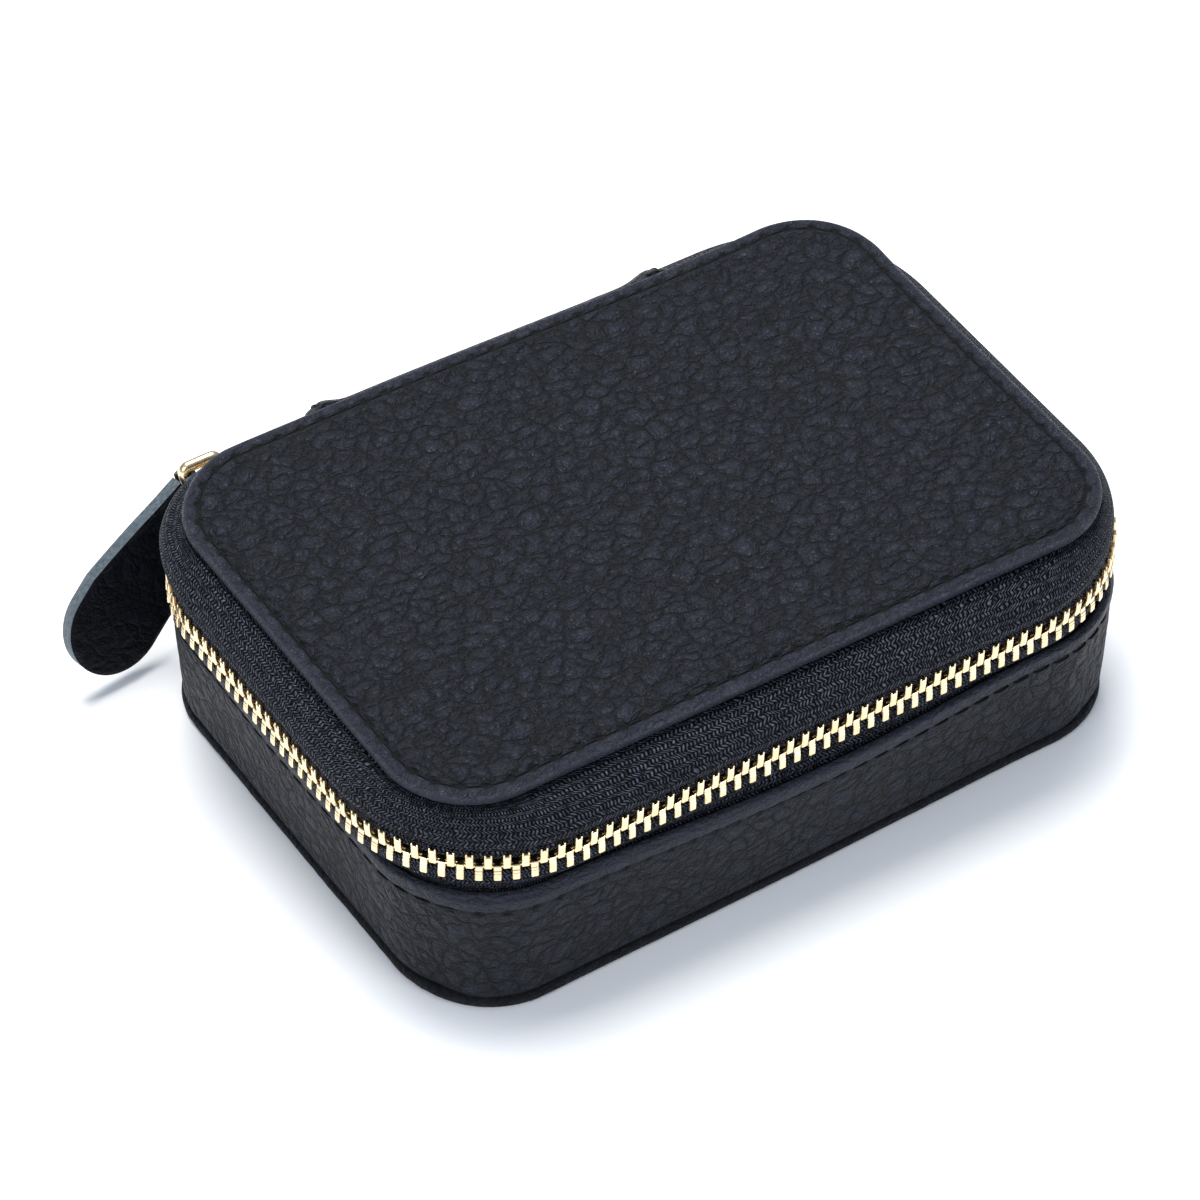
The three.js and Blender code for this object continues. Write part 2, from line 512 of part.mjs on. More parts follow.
// strap plane passes through the eye's middle
const bar2 = BAR.clone().addScaledVector(TN, -BAR.dot(TN)).normalize();
const inPlane = (v) => [v.dot(TL), v.dot(TW)];
const bl = inPlane(bar2);
const neckDir = [bl[1] * (bl[1] > 0 ? 1 : -1), -bl[0] * (bl[1] > 0 ? 1 : -1)]; // across the bar, towards the tip
const start = [0.4, 2.65];
const outline = new THREE.Shape();
{
  const hw = TAB.W / 2;
  const bx = bl[0], by = bl[1];
  const e = 1.3; // distance of the neck's first edge from the bar
  const p = (u, v) => [neckDir[0] * u + bx * v, neckDir[1] * u + by * v];
  const sgn = by > 0 ? 1 : -1;
  const A = p(e, -TAB.upper * sgn), B = p(e, TAB.lower * sgn);
  outline.moveTo(...A);
  outline.quadraticCurveTo(start[0] + 10, start[1] - 6.4, start[0] + 19, start[1] - hw);
  outline.lineTo(start[0] + TAB.L - hw, start[1] - hw);
  outline.absarc(start[0] + TAB.L - hw, start[1], hw, -Math.PI / 2, Math.PI / 2, false);
  outline.lineTo(start[0] + 16, start[1] + hw);
  outline.quadraticCurveTo(start[0] + 8.5, start[1] + 7.4, ...B);
  outline.closePath();
}
const strap = new THREE.ExtrudeGeometry(outline, { depth: TAB.T, bevelEnabled: false, curveSegments: 14 });
strap.translate(0, 0, -TAB.T / 2);
const third = new THREE.Vector3().crossVectors(TL, TW);
strap.applyMatrix4(new THREE.Matrix4().makeBasis(TL, TW, third).setPosition(P2));
const eyeG = (r, h) => {
  const g = new THREE.CylinderGeometry(r, r, h, 20);
  g.applyQuaternion(new THREE.Quaternion().setFromUnitVectors(new THREE.Vector3(0, 1, 0), bar2));
  g.translate(P2.x, P2.y, P2.z);
  return g;
};
const eyeH = 2 * (LINK_W / 2 - WIRE_R - LINK_R) - 0.2;
const tab = solid(strap).add(solid(eyeG(TAB.eye, eyeH))).subtract(solid(eyeG(WIRE_R + 0.25, eyeH + 3)));
add("pull_tab", geometry(tab), M.leather);

export { P1, P2, BAR, LINK, TL, TW, TN, SC };
export default part;
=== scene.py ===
import bpy, bmesh, math
import numpy as np
from mathutils import Matrix, Vector


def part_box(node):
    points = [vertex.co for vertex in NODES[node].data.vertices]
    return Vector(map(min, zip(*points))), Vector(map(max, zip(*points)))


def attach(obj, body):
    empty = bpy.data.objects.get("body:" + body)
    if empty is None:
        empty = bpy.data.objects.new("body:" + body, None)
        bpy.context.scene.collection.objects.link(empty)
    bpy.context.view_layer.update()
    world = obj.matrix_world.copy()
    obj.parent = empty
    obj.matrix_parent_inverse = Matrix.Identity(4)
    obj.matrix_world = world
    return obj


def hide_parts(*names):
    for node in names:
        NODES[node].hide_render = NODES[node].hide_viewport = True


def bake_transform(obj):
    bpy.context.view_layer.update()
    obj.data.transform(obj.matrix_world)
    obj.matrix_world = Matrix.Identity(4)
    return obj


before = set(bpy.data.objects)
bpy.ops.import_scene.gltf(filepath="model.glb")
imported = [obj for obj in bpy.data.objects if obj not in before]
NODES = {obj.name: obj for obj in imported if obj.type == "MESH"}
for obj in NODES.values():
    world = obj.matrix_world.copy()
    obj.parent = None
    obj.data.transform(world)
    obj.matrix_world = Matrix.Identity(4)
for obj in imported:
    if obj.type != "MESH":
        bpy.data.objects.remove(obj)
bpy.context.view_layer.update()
MM = 0.001

# ------------------------------------------------------------ shared sizes, mm
PANEL = dict(a=60.1, b=40.2, R=14.1)
CHAIN = dict(a=63.6, b=44.66, R=24.2)
CHAIN_Z, PITCH = 28.6, 2.54
RIM = dict(a=62.2, b=44.7, R=19.0, k=(0.6, 0.3, 0.6, 2.2))
FOOT = dict(a=60.1, b=43.0, R=15.0, k=(0.3, 0.1, 0.1, 0.3))
RIM_Z, W0, LEATHER_T, GAP, TAPE_T = 22.8, 1.9, 1.4, 0.3, 0.6
TAPE_END, CHAIN_END = 31.9, 35.0
SC = np.array([-39.4, 20.46])
P1 = np.array([-43.12, 48.7162, 28.3])
P2 = np.array([-48.3137, 49.6973, 27.1942])
BAR = np.array([-0.17, 0.19, 0.967]); BAR /= np.linalg.norm(BAR)
TL = np.array([-0.7502, -0.2001, -0.6302]); TL /= np.linalg.norm(TL)
TN = np.array([0.0717, -0.9721, 0.2233]); TN -= TL * (TN @ TL); TN /= np.linalg.norm(TN)
TW = np.cross(TL, TN)
if TW[2] > 0: TW = -TW


# ---------------------------------------------------------------- number tools
def rnd(ix, iy, s):
    with np.errstate(over="ignore"):
        h = (ix.astype(np.int64).astype(np.uint64) * np.uint64(374761393)
             + iy.astype(np.int64).astype(np.uint64) * np.uint64(668265263)
             + np.uint64(s * 2246822519 + 77)) & np.uint64(0xFFFFFFFF)
        h = ((h ^ (h >> np.uint64(13))) * np.uint64(1274126177)) & np.uint64(0xFFFFFFFF)
        h = h ^ (h >> np.uint64(16))
        h = (h * np.uint64(2654435761)) & np.uint64(0xFFFFFFFF)
    return ((h >> np.uint64(8)) & np.uint64(0xFFFF)).astype(float) / 65535.0


def lattice(x, y, s, wrap=0):
    """smooth value noise, 0..1, one cell per unit"""
    x0, y0 = np.floor(x), np.floor(y)
    fx, fy = x - x0, y - y0
    fx, fy = fx * fx * (3 - 2 * fx), fy * fy * (3 - 2 * fy)
    w = (lambda v: np.mod(v, wrap)) if wrap else (lambda v: v)
    a, b = rnd(w(x0), y0, s), rnd(w(x0 + 1), y0, s)
    c, d = rnd(w(x0), y0 + 1, s), rnd(w(x0 + 1), y0 + 1, s)
    return (a + (b - a) * fx) * (1 - fy) + (c + (d - c) * fx) * fy


def cells(x, y, s, wrap=0, jitter=0.44):
    """distance to the nearest and second nearest scattered point, in cells"""
    bx, by = np.floor(x), np.floor(y)
    f1 = np.full(x.shape, 9.0); f2 = f1.copy(); who = np.zeros(x.shape)
    for dx in (-2, -1, 0, 1, 2):
        for dy in (-2, -1, 0, 1, 2):
            if abs(dx) == 2 and abs(dy) == 2: continue
            cx, cy = bx + dx, by + dy
            k = np.mod(cx, wrap) if wrap else cx
            px = cx + 0.5 + (rnd(k, cy, s) - 0.5) * 2 * jitter
            py = cy + 0.5 + (rnd(k, cy, s + 9) - 0.5) * 2 * jitter
            d = np.hypot(x - px, y - py)
            near = d < f1
            f2 = np.where(near, f1, np.minimum(f2, d))
            who = np.where(near, rnd(k, cy, s + 21), who)
            f1 = np.where(near, d, f1)
    return f1, f2, who


def sstep(a, b, x):
    t = np.clip((x - a) / (b - a), 0, 1)
    return t * t * (3 - 2 * t)


def grain(x, y, seed, size=3.1, wrap_len=0.0, stretch=1.0):
    """Pebbled leather over a surface measured in mm: height in mm and how deep in a crease each point is, 0..1."""
    if wrap_len:
        nx = max(3, int(round(wrap_len / size))); sx = wrap_len / nx
        nf = max(3, int(round(wrap_len / (size * 0.42)))); sf = wrap_len / nf
        nw = max(3, int(round(wrap_len / 7.0))); sw = wrap_len / nw
    else:
        nx = nf = nw = 0; sx, sf, sw = size, size * 0.42, 7.0
    u = x + 1.3 * (lattice(x / sw, y / 7.0, seed + 1, nw) - 0.5) * 2
    v = y + 1.3 * (lattice(x / sw, y / 7.0, seed + 2, nw) - 0.5) * 2
    a1, a2, who = cells(u / sx, v / (size * stretch), seed, nx)
    e = (a2 - a1) * size
    b1, b2, _ = cells(u / sf, v / (size * 0.42 * stretch), seed + 5, nf)
    g = (b2 - b1) * size * 0.42
    depth = 0.45 + 0.55 * lattice(x / sw * 1.0, y / 5.0, seed + 3, nw)
    crease = np.exp(-(e / 0.42) ** 2) * depth
    minor = np.exp(-(g / 0.22) ** 2) * lattice(x / sw, y / 4.0, seed + 4, nw)
    dome = 1 - np.exp(-e / 0.85)
    h = 0.16 * dome * (0.7 + 0.5 * who) - 0.06 * crease - 0.045 * minor
    return h - 0.08, np.clip(crease + 0.45 * minor, 0, 1)


# ------------------------------------------------------------------ mesh tools
def build(name, verts, faces, mats, body=None, rep=(), slot=None, attrs=None, uvs=None, mat_ids=None, sharp=None, smooth=True, fix=True):
    me = bpy.data.meshes.new(name)
    me.from_pydata([tuple(v) for v in (np.asarray(verts, float) * MM).tolist()], [], [list(map(int, f)) for f in faces])
    for m in mats: me.materials.append(m)
    if attrs:
        for k, v in attrs.items():
            me.attributes.new(k, "FLOAT", "POINT").data.foreach_set("value", np.asarray(v, np.float32))
    if uvs is not None:
        layer = me.uv_layers.new(name="UVMap")
        layer.data.foreach_set("uv", np.asarray(uvs, np.float32).ravel())
    if mat_ids is not None:
        me.polygons.foreach_set("material_index", np.asarray(mat_ids, np.int32))
    if fix:
        bm = bmesh.new(); bm.from_mesh(me)
        bmesh.ops.recalc_face_normals(bm, faces=bm.faces)
        bm.to_mesh(me); bm.free()
    me.polygons.foreach_set("use_smooth", [smooth] * len(me.polygons))
    if sharp: me.set_sharp_from_angle(angle=math.radians(sharp))
    me.update()
    o = bpy.data.objects.new(name, me)
    bpy.context.scene.collection.objects.link(o)
    if rep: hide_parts(*rep)
    if body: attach(o, body)
    return o


def loft(rows, closed_u=True, closed_v=True, cap=False, U=None, V=None):
    """rows (m, n, 3): m lines of n points. Returns vertices, quads and per-corner uv."""
    rows = np.asarray(rows, float)
    m, n = rows.shape[:2]
    faces, uv = [], []
    for j in range(m if closed_v else m - 1):
        for i in range(n if closed_u else n - 1):
            j2, i2 = (j + 1) % m, (i + 1) % n
            faces.append((j * n + i, j * n + i2, j2 * n + i2, j2 * n + i))
            if U is not None:
                uv += [(U[i], V[j]), (U[i + 1], V[j]), (U[i + 1], V[j + 1]), (U[i], V[j + 1])]
    if cap and not closed_u:
        faces.append([j * n for j in range(m)]); faces.append([j * n + n - 1 for j in reversed(range(m))])
        if U is not None:
            uv += [(U[0], V[j]) for j in range(m)] + [(U[-1], V[j]) for j in reversed(range(m))]
    return rows.reshape(-1, 3), faces, (uv if U is not None else None)


def ring(s, d=0.0, side=(102, 172, 102, 172), corner=60, floor=0.0):
    a, b, R = s["a"], s["b"], s["R"]
    k = s.get("k", (0, 0, 0, 0))
    r = max(R - d, floor)
    cx, cy = a - R, b - R
    c = [np.array(p, float) for p in ((cx, -cy), (cx, cy), (-cx, cy), (-cx, -cy))]
    P, Nn = [], []
    for q in range(4):
        n = np.array([(1, 0), (0, 1), (-1, 0), (0, -1)][q], float)
        p0, p1 = c[q], c[(q + 1) % 4]
        t = np.arange(side[q]) / side[q]
        u = 2 * t - 1
        w = k[q] * (1 - u * u) ** 2
        L = np.linalg.norm(p1 - p0)
        T = (p1 - p0) / L
        dw = k[q] * 2 * (1 - u * u) * (-2 * u) * 2 / L
        P.append(p0 + (p1 - p0) * t[:, None] + n * (r + w)[:, None])
        nn = n - T * dw[:, None]
        Nn.append(nn / np.linalg.norm(nn, axis=1)[:, None])
        th = math.pi / 2 * q + math.pi / 2 * np.arange(corner) / corner
        e = np.stack([np.cos(th), np.sin(th)], 1)
        P.append(p1 + e * r); Nn.append(e)
    return np.concatenate(P), np.concatenate(Nn)


def open_line(s, d=0.0, end=TAPE_END, n_end=14, corner=64, lr=84, fb=160):
    """From the back at x = -end round the left, front and right to the back at x = +end."""
    a, b, R = s["a"], s["b"], s["R"]
    k = s.get("k", (0, 0, 0, 0))
    r = max(R - d, 0.4)
    cx, cy = a - R, b - R
    P, Nn = [], []
    def line(p0, p1, n, m, bow=0.0):
        t = np.arange(m) / m; u = 2 * t - 1
        w = bow * (1 - u * u) ** 2
        P.append(np.array(p0) + (np.array(p1) - np.array(p0)) * t[:, None] + np.array(n, float) * w[:, None])
        Nn.append(np.repeat([np.array(n, float)], m, 0))
    def arc(c, a0):
        th = math.radians(a0) + math.pi / 2 * np.arange(corner) / corner
        e = np.stack([np.cos(th), np.sin(th)], 1)
        P.append(np.array(c) + e * r); Nn.append(e)
    line((-end, cy + r), (-cx, cy + r), (0, 1), n_end)
    arc((-cx, cy), 90)
    line((-cx - r, cy), (-cx - r, -cy), (-1, 0), lr, k[2])
    arc((-cx, -cy), 180)
    line((-cx, -cy - r), (cx, -cy - r), (0, -1), fb, k[3])
    arc((cx, -cy), 270)
    line((cx + r, -cy), (cx + r, cy), (1, 0), lr, k[0])
    arc((cx, cy), 0)
    line((cx, cy + r), (end, cy + r), (0, 1), n_end)
    P.append(np.array([[end, cy + r]])); Nn.append(np.array([[0.0, 1.0]]))
    return np.concatenate(P), np.concatenate(Nn)


def arclen(P, closed=False):
    Q = np.vstack([P, P[:1]]) if closed else P
    return np.concatenate([[0], np.cumsum(np.linalg.norm(np.diff(Q, axis=0), axis=1))])


def pad_surface(s, levels, side_x, side_y, corner, z_of, extra=()):
    """A rounded-rectangle surface: rings stepping in from the edge, collapsing at each corner's centre, then a
    plain grid. extra: (d, z) rings of the rim and underside outside the first level. Returns verts, faces, d."""
    side = (side_y, side_x, side_y, side_x)
    verts, D, faces = [], [], []
    lines = [(d, z, True) for d, z in extra] + [(d, None, False) for d in levels]
    n = None
    for d, z, _ in lines:
        P, _n = ring(s, d, side, corner)
        n = len(P)
        zz = np.full(n, z) if z is not None else z_of(P[:, 0], P[:, 1], np.full(n, d))
        verts.append(np.column_stack([P, zz])); D.append(np.full(n, d))
    m = len(lines)
    for j in range(m - 1):
        for i in range(n):
            i2 = (i + 1) % n
            faces.append((j * n + i, j * n + i2, (j + 1) * n + i2, (j + 1) * n + i))
    cx, cy = s["a"] - s["R"], s["b"] - s["R"]
    gx = np.linspace(-cx, cx, side_x + 1); gy = np.linspace(-cy, cy, side_y + 1)
    X, Y = np.meshgrid(gx, gy, indexing="ij")
    inset = s["R"] + np.minimum(cx - np.abs(X), cy - np.abs(Y))
    Z = z_of(X.ravel(), Y.ravel(), inset.ravel())
    g0 = m * n
    verts.append(np.column_stack([X.ravel(), Y.ravel(), Z])); D.append(inset.ravel())
    gi = lambda i, j: g0 + i * (side_y + 1) + j
    edge = []
    for j in range(side_y): edge.append(gi(side_x, j))
    edge += [gi(side_x, side_y)] * corner
    for i in range(side_x): edge.append(gi(side_x - i, side_y))
    edge += [gi(0, side_y)] * corner
    for j in range(side_y): edge.append(gi(0, side_y - j))
    edge += [gi(0, 0)] * corner
    for i in range(side_x): edge.append(gi(i, 0))
    edge += [gi(side_x, 0)] * corner
    o = (m - 1) * n
    for i in range(n):
        i2 = (i + 1) % n
        e, e2 = edge[i], edge[i2]
        faces.append((o + i, o + i2, e2) if e == e2 else (o + i, o + i2, e2, e))
    for i in range(side_x):
        for j in range(side_y):
            faces.append((gi(i, j), gi(i + 1, j), gi(i + 1, j + 1), gi(i, j + 1)))
    return np.concatenate(verts), faces, np.concatenate(D), n


def tube(points, radius, sides=10, closed=False, up=None):
    """a round bar along points; radius one number or one each"""
    P = np.asarray(points, float); n = len(P)
    r = np.broadcast_to(np.asarray(radius, float), (n,))
    T = np.gradient(P, axis=0) if not closed else (np.roll(P, -1, 0) - np.roll(P, 1, 0))
    T /= np.linalg.norm(T, axis=1)[:, None]
    if up is None:
        up = np.array([0, 0, 1.0]) if abs(T[0][2]) < 0.9 else np.array([1.0, 0, 0])
    A = np.cross(T, np.broadcast_to(up, T.shape)); A /= np.linalg.norm(A, axis=1)[:, None]
    B = np.cross(A, T)
    th = 2 * math.pi * np.arange(sides) / sides
    V = P[:, None] + r[:, None, None] * (A[:, None] * np.cos(th)[None, :, None] + B[:, None] * np.sin(th)[None, :, None])
    faces = []
    for i in range(n if closed else n - 1):
        for j in range(sides):
            i2, j2 = (i + 1) % n, (j + 1) % sides
            faces.append((i * sides + j, i * sides + j2, i2 * sides + j2, i2 * sides + j))
    if not closed:
        faces.append(list(range(sides))[::-1]); faces.append([(n - 1) * sides + j for j in range(sides)])
    return V.reshape(-1, 3), faces


def join(parts):
    V, F, o = [], [], 0
    for v, f in parts:
        V.append(v); F += [[i + o for i in q] for q in f]; o += len(v)
    return np.concatenate(V), F


def cham_box(x0, x1, y0, y1, z0, z1, c=0.15, seg=1):
    bm = bmesh.new()
    bmesh.ops.create_cube(bm, size=1.0)
    for v in bm.verts:
        v.co = Vector(((x0 + x1) / 2 + v.co.x * (x1 - x0), (y0 + y1) / 2 + v.co.y * (y1 - y0), (z0 + z1) / 2 + v.co.z * (z1 - z0)))
    bmesh.ops.bevel(bm, geom=bm.edges[:], offset=c, segments=seg, profile=0.5, affect="EDGES")
    bm.verts.ensure_lookup_table()
    V = np.array([v.co[:] for v in bm.verts]); F = [[v.index for v in f.verts] for f in bm.faces]
    bm.free()
    return V, F


def soft_box(x0, x1, y0, y1, z0, z1, r=0.6, step=1.2, puff=0.12, seed=3):
    """a fabric-covered board: rounded edges and slightly uneven faces"""
    bm = bmesh.new()
    bmesh.ops.create_cube(bm, size=1.0)
    for v in bm.verts:
        v.co = Vector(((x0 + x1) / 2 + v.co.x * (x1 - x0), (y0 + y1) / 2 + v.co.y * (y1 - y0), (z0 + z1) / 2 + v.co.z * (z1 - z0)))
    bmesh.ops.bevel(bm, geom=bm.edges[:], offset=r, segments=4, profile=0.5, affect="EDGES")
    for ax, (lo, hi) in enumerate(((x0, x1), (y0, y1), (z0, z1))):
        k = int((hi - lo - 2 * r) / step)
        for i in range(1, k):
            co = Vector((0, 0, 0)); co[ax] = lo + r + (hi - lo - 2 * r) * i / k
            no = Vector((0, 0, 0)); no[ax] = 1
            bmesh.ops.bisect_plane(bm, geom=bm.verts[:] + bm.edges[:] + bm.faces[:], plane_co=co, plane_no=no)
    bm.normal_update(); bm.verts.ensure_lookup_table()
    V = np.array([v.co[:] for v in bm.verts]); Nn = np.array([v.normal[:] for v in bm.verts])
    F = [[v.index for v in f.verts] for f in bm.faces]
    bm.free()
    w = lattice(V[:, 0] / 5 + V[:, 2] / 7, V[:, 1] / 5 + V[:, 2] / 6, seed) - 0.6
    return V + Nn * (w * puff)[:, None], F


# ------------------------------------------------------------------- materials
class Mat:
    def __init__(self, name, **const):
        self.m = bpy.data.materials.new(name); self.m.use_nodes = True
        self.nt = self.m.node_tree; self.nt.nodes.clear()
        out = self.nt.nodes.new("ShaderNodeOutputMaterial")
        self.b = self.nt.nodes.new("ShaderNodeBsdfPrincipled")
        self.nt.links.new(self.b.outputs[0], out.inputs[0])
        for k, v in const.items(): self.b.inputs[k.replace("_", " ")].default_value = v
    def node(self, kind, **sets):
        n = self.nt.nodes.new(kind)
        for k, v in sets.items(): setattr(n, k, v)
        return n
    def link(self, a, b): self.nt.links.new(a, b)
    def put(self, sock, v):
        if isinstance(v, bpy.types.NodeSocket): self.link(v, sock)
        else: sock.default_value = v
    def math(self, op, a, b=None, c=None, clamp=False):
        n = self.node("ShaderNodeMath", operation=op, use_clamp=clamp)
        for i, v in enumerate((a, b, c)):
            if v is not None: self.put(n.inputs[i], v)
        return n.outputs[0]
    def obj(self):
        return self.node("ShaderNodeTexCoord").outputs["Object"]
    def noise(self, vec, scale, detail=3.0, rough=0.55, dist=0.0):
        n = self.node("ShaderNodeTexNoise")
        self.link(vec, n.inputs["Vector"])
        n.inputs["Scale"].default_value = scale; n.inputs["Detail"].default_value = detail
        n.inputs["Roughness"].default_value = rough; n.inputs["Distortion"].default_value = dist
        return n.outputs["Fac"]
    def voronoi(self, vec, scale, feature="DISTANCE_TO_EDGE", rand=1.0):
        n = self.node("ShaderNodeTexVoronoi", feature=feature)
        self.link(vec, n.inputs["Vector"])
        n.inputs["Scale"].default_value = scale; n.inputs["Randomness"].default_value = rand
        return n.outputs["Distance"]
    def remap(self, v, a, b, c, d):
        n = self.node("ShaderNodeMapRange"); n.clamp = True
        self.put(n.inputs["Value"], v)
        for k, x in zip(("From Min", "From Max", "To Min", "To Max"), (a, b, c, d)): n.inputs[k].default_value = x
        return n.outputs["Result"]
    def mix(self, f, a, b):
        n = self.node("ShaderNodeMix", data_type="RGBA")
        self.put(n.inputs[0], f)
        for s, v in ((n.inputs[6], a), (n.inputs[7], b)):
            self.put(s, (*v, 1.0) if isinstance(v, tuple) and len(v) == 3 else v)
        return n.outputs[2]
    def bump(self, h, strength, dist_mm, prev=None):
        n = self.node("ShaderNodeBump")
        n.inputs["Strength"].default_value = strength; n.inputs["Distance"].default_value = dist_mm * MM
        self.link(h, n.inputs["Height"])
        if prev is not None: self.link(prev, n.inputs["Normal"])
        return n.outputs["Normal"]
    def set(self, name, v): self.put(self.b.inputs[name], v)


def leather(name, top=(0.0182, 0.0205, 0.0325), low=(0.0008, 0.0010, 0.0017), wear_and_highlight=(0.036, 0.040, 0.055), rough=(0.40, 0.70), fine=1.0, spec=0.22, cell=3.0):
    """pebbled leather: flat scales parted by thin creases, with finer wrinkles crossing them. Attributes: "crease"
    (0..1, pressed lines, painted dark as shade), "edge" (0..1, rubbed edges painted lighter, partly a painted
    highlight), "plain" (0..1, where the grain is ironed flat). The colour also holds painted shade on the pebbles and
    in the creases, and painted highlight specks."""
    M = Mat(name, Specular_IOR_Level=spec, Sheen_Weight=0.02, Sheen_Roughness=0.4)
    v = M.obj()
    cr = M.node("ShaderNodeAttribute", attribute_name="crease").outputs["Fac"]
    ed = M.node("ShaderNodeAttribute", attribute_name="edge").outputs["Fac"]
    keep = M.math("SUBTRACT", 1.0, M.node("ShaderNodeAttribute", attribute_name="plain").outputs["Fac"], clamp=True)
    w = M.node("ShaderNodeTexNoise"); M.link(v, w.inputs["Vector"])
    w.inputs["Scale"].default_value = 210.0; w.inputs["Detail"].default_value = 3.0
    wsub = M.node("ShaderNodeVectorMath", operation="SUBTRACT"); M.link(w.outputs["Color"], wsub.inputs[0]); wsub.inputs[1].default_value = (0.5, 0.5, 0.5)
    wsc = M.node("ShaderNodeVectorMath", operation="SCALE"); M.link(wsub.outputs[0], wsc.inputs[0]); wsc.inputs["Scale"].default_value = 0.0034
    wa0 = M.node("ShaderNodeVectorMath", operation="ADD"); M.link(v, wa0.inputs[0]); M.link(wsc.outputs[0], wa0.inputs[1])
    w2 = M.node("ShaderNodeTexNoise"); M.link(v, w2.inputs["Vector"])
    w2.inputs["Scale"].default_value = 760.0; w2.inputs["Detail"].default_value = 3.0
    w2s = M.node("ShaderNodeVectorMath", operation="SUBTRACT"); M.link(w2.outputs["Color"], w2s.inputs[0]); w2s.inputs[1].default_value = (0.5, 0.5, 0.5)
    w2c = M.node("ShaderNodeVectorMath", operation="SCALE"); M.link(w2s.outputs[0], w2c.inputs[0]); w2c.inputs["Scale"].default_value = 0.0011
    wad = M.node("ShaderNodeVectorMath", operation="ADD"); M.link(wa0.outputs[0], wad.inputs[0]); M.link(w2c.outputs[0], wad.inputs[1])
    rot = M.node("ShaderNodeMapping"); M.link(wad.outputs[0], rot.inputs["Vector"])
    rot.inputs["Rotation"].default_value = (0.0, 0.0, 0.575); rot.inputs["Scale"].default_value = (0.86, 1.12, 1.0)
    u = rot.outputs[0]
    e1 = M.voronoi(u, 1000.0 / cell)
    e2 = M.voronoi(u, 1000.0 / (cell * 0.40))
    e3 = M.voronoi(wad.outputs[0], 1000.0 / (cell * 0.17))
    pores = M.noise(v, 5200.0, 2.0)
    patch = M.noise(v, 130.0, 3.0)
    l1 = M.math("POWER", M.math("SUBTRACT", 1.0, M.remap(e1, 0.0, 0.16, 0.0, 1.0)), 1.2)
    l2 = M.math("MULTIPLY", M.math("POWER", M.math("SUBTRACT", 1.0, M.remap(e2, 0.0, 0.20, 0.0, 1.0)), 1.5), M.remap(patch, 0.38, 0.62, 0.15, 0.65))
    l3 = M.math("MULTIPLY", M.math("SUBTRACT", 1.0, M.remap(e3, 0.0, 0.20, 0.0, 1.0)), 0.55)
    s1 = M.math("MULTIPLY", l1, M.remap(patch, 0.30, 0.62, 1.0, 0.50))
    lines = M.math("MULTIPLY", M.math("MAXIMUM", M.math("MAXIMUM", s1, l2), l3), keep)
    tone = M.noise(v, 480.0, 5.0, 0.7)
    c = M.mix(M.remap(tone, 0.28, 0.72, 0.0, 1.0), tuple(x * 0.78 for x in top), tuple(x * 1.42 for x in top))
    # painted shade on the pebbles: the base colour darkens from each scale's middle towards its creases, standing in
    # for lit tops and shaded sides
    pebble_shade = M.math("ADD", M.math("MULTIPLY", M.remap(e1, 0.04, 0.36, 0.0, 1.0), 0.6), M.math("MULTIPLY", M.remap(e2, 0.03, 0.25, 0.0, 1.0), 0.4))
    c = M.mix(M.math("MULTIPLY", M.math("SUBTRACT", 1.0, pebble_shade), M.math("MULTIPLY", keep, 0.88)), c, low)
    # painted shade in the grain's creases and wrinkles: the lines darken the base colour
    c = M.mix(M.math("MULTIPLY", lines, 1.0, clamp=True), c, low)
    # painted highlight: small pale specks mixed into the base colour
    speck_highlight = M.remap(M.noise(v, 3000.0, 3.0, 0.7), 0.60, 0.74, 0.0, 0.55)
    c = M.mix(speck_highlight, c, wear_and_highlight)
    # painted shade along the "crease" attribute: stitch grooves, stitch holes, pressed lines and the wall's foot
    c = M.mix(M.math("MULTIPLY", cr, 1.25, clamp=True), c, low)
    # rubbed edges painted lighter; along the top edges this is partly a painted highlight
    c = M.mix(M.math("MULTIPLY", ed, 0.75, clamp=True), c, wear_and_highlight)
    M.set("Base Color", c)
    r = M.math("ADD", M.remap(tone, 0.25, 0.75, rough[0], rough[0] + 0.14), M.math("MULTIPLY", M.math("MAXIMUM", cr, lines), rough[1] - rough[0]), clamp=True)
    M.set("Roughness", r)
    dome = M.math("MULTIPLY", M.math("POWER", M.remap(e1, 0.0, 0.42, 0.0, 1.0), 0.72), keep)
    small = M.math("MULTIPLY", M.remap(e2, 0.0, 0.26, 0.0, 1.0), 0.26)
    tiny = M.math("ADD", M.math("MULTIPLY", M.remap(e3, 0.0, 0.25, 0.0, 1.0), 0.11), M.math("MULTIPLY", pores, 0.05))
    h = M.math("ADD", M.math("ADD", dome, small), tiny)
    M.set("Normal", M.bump(h, fine, 0.78))
    return M.m


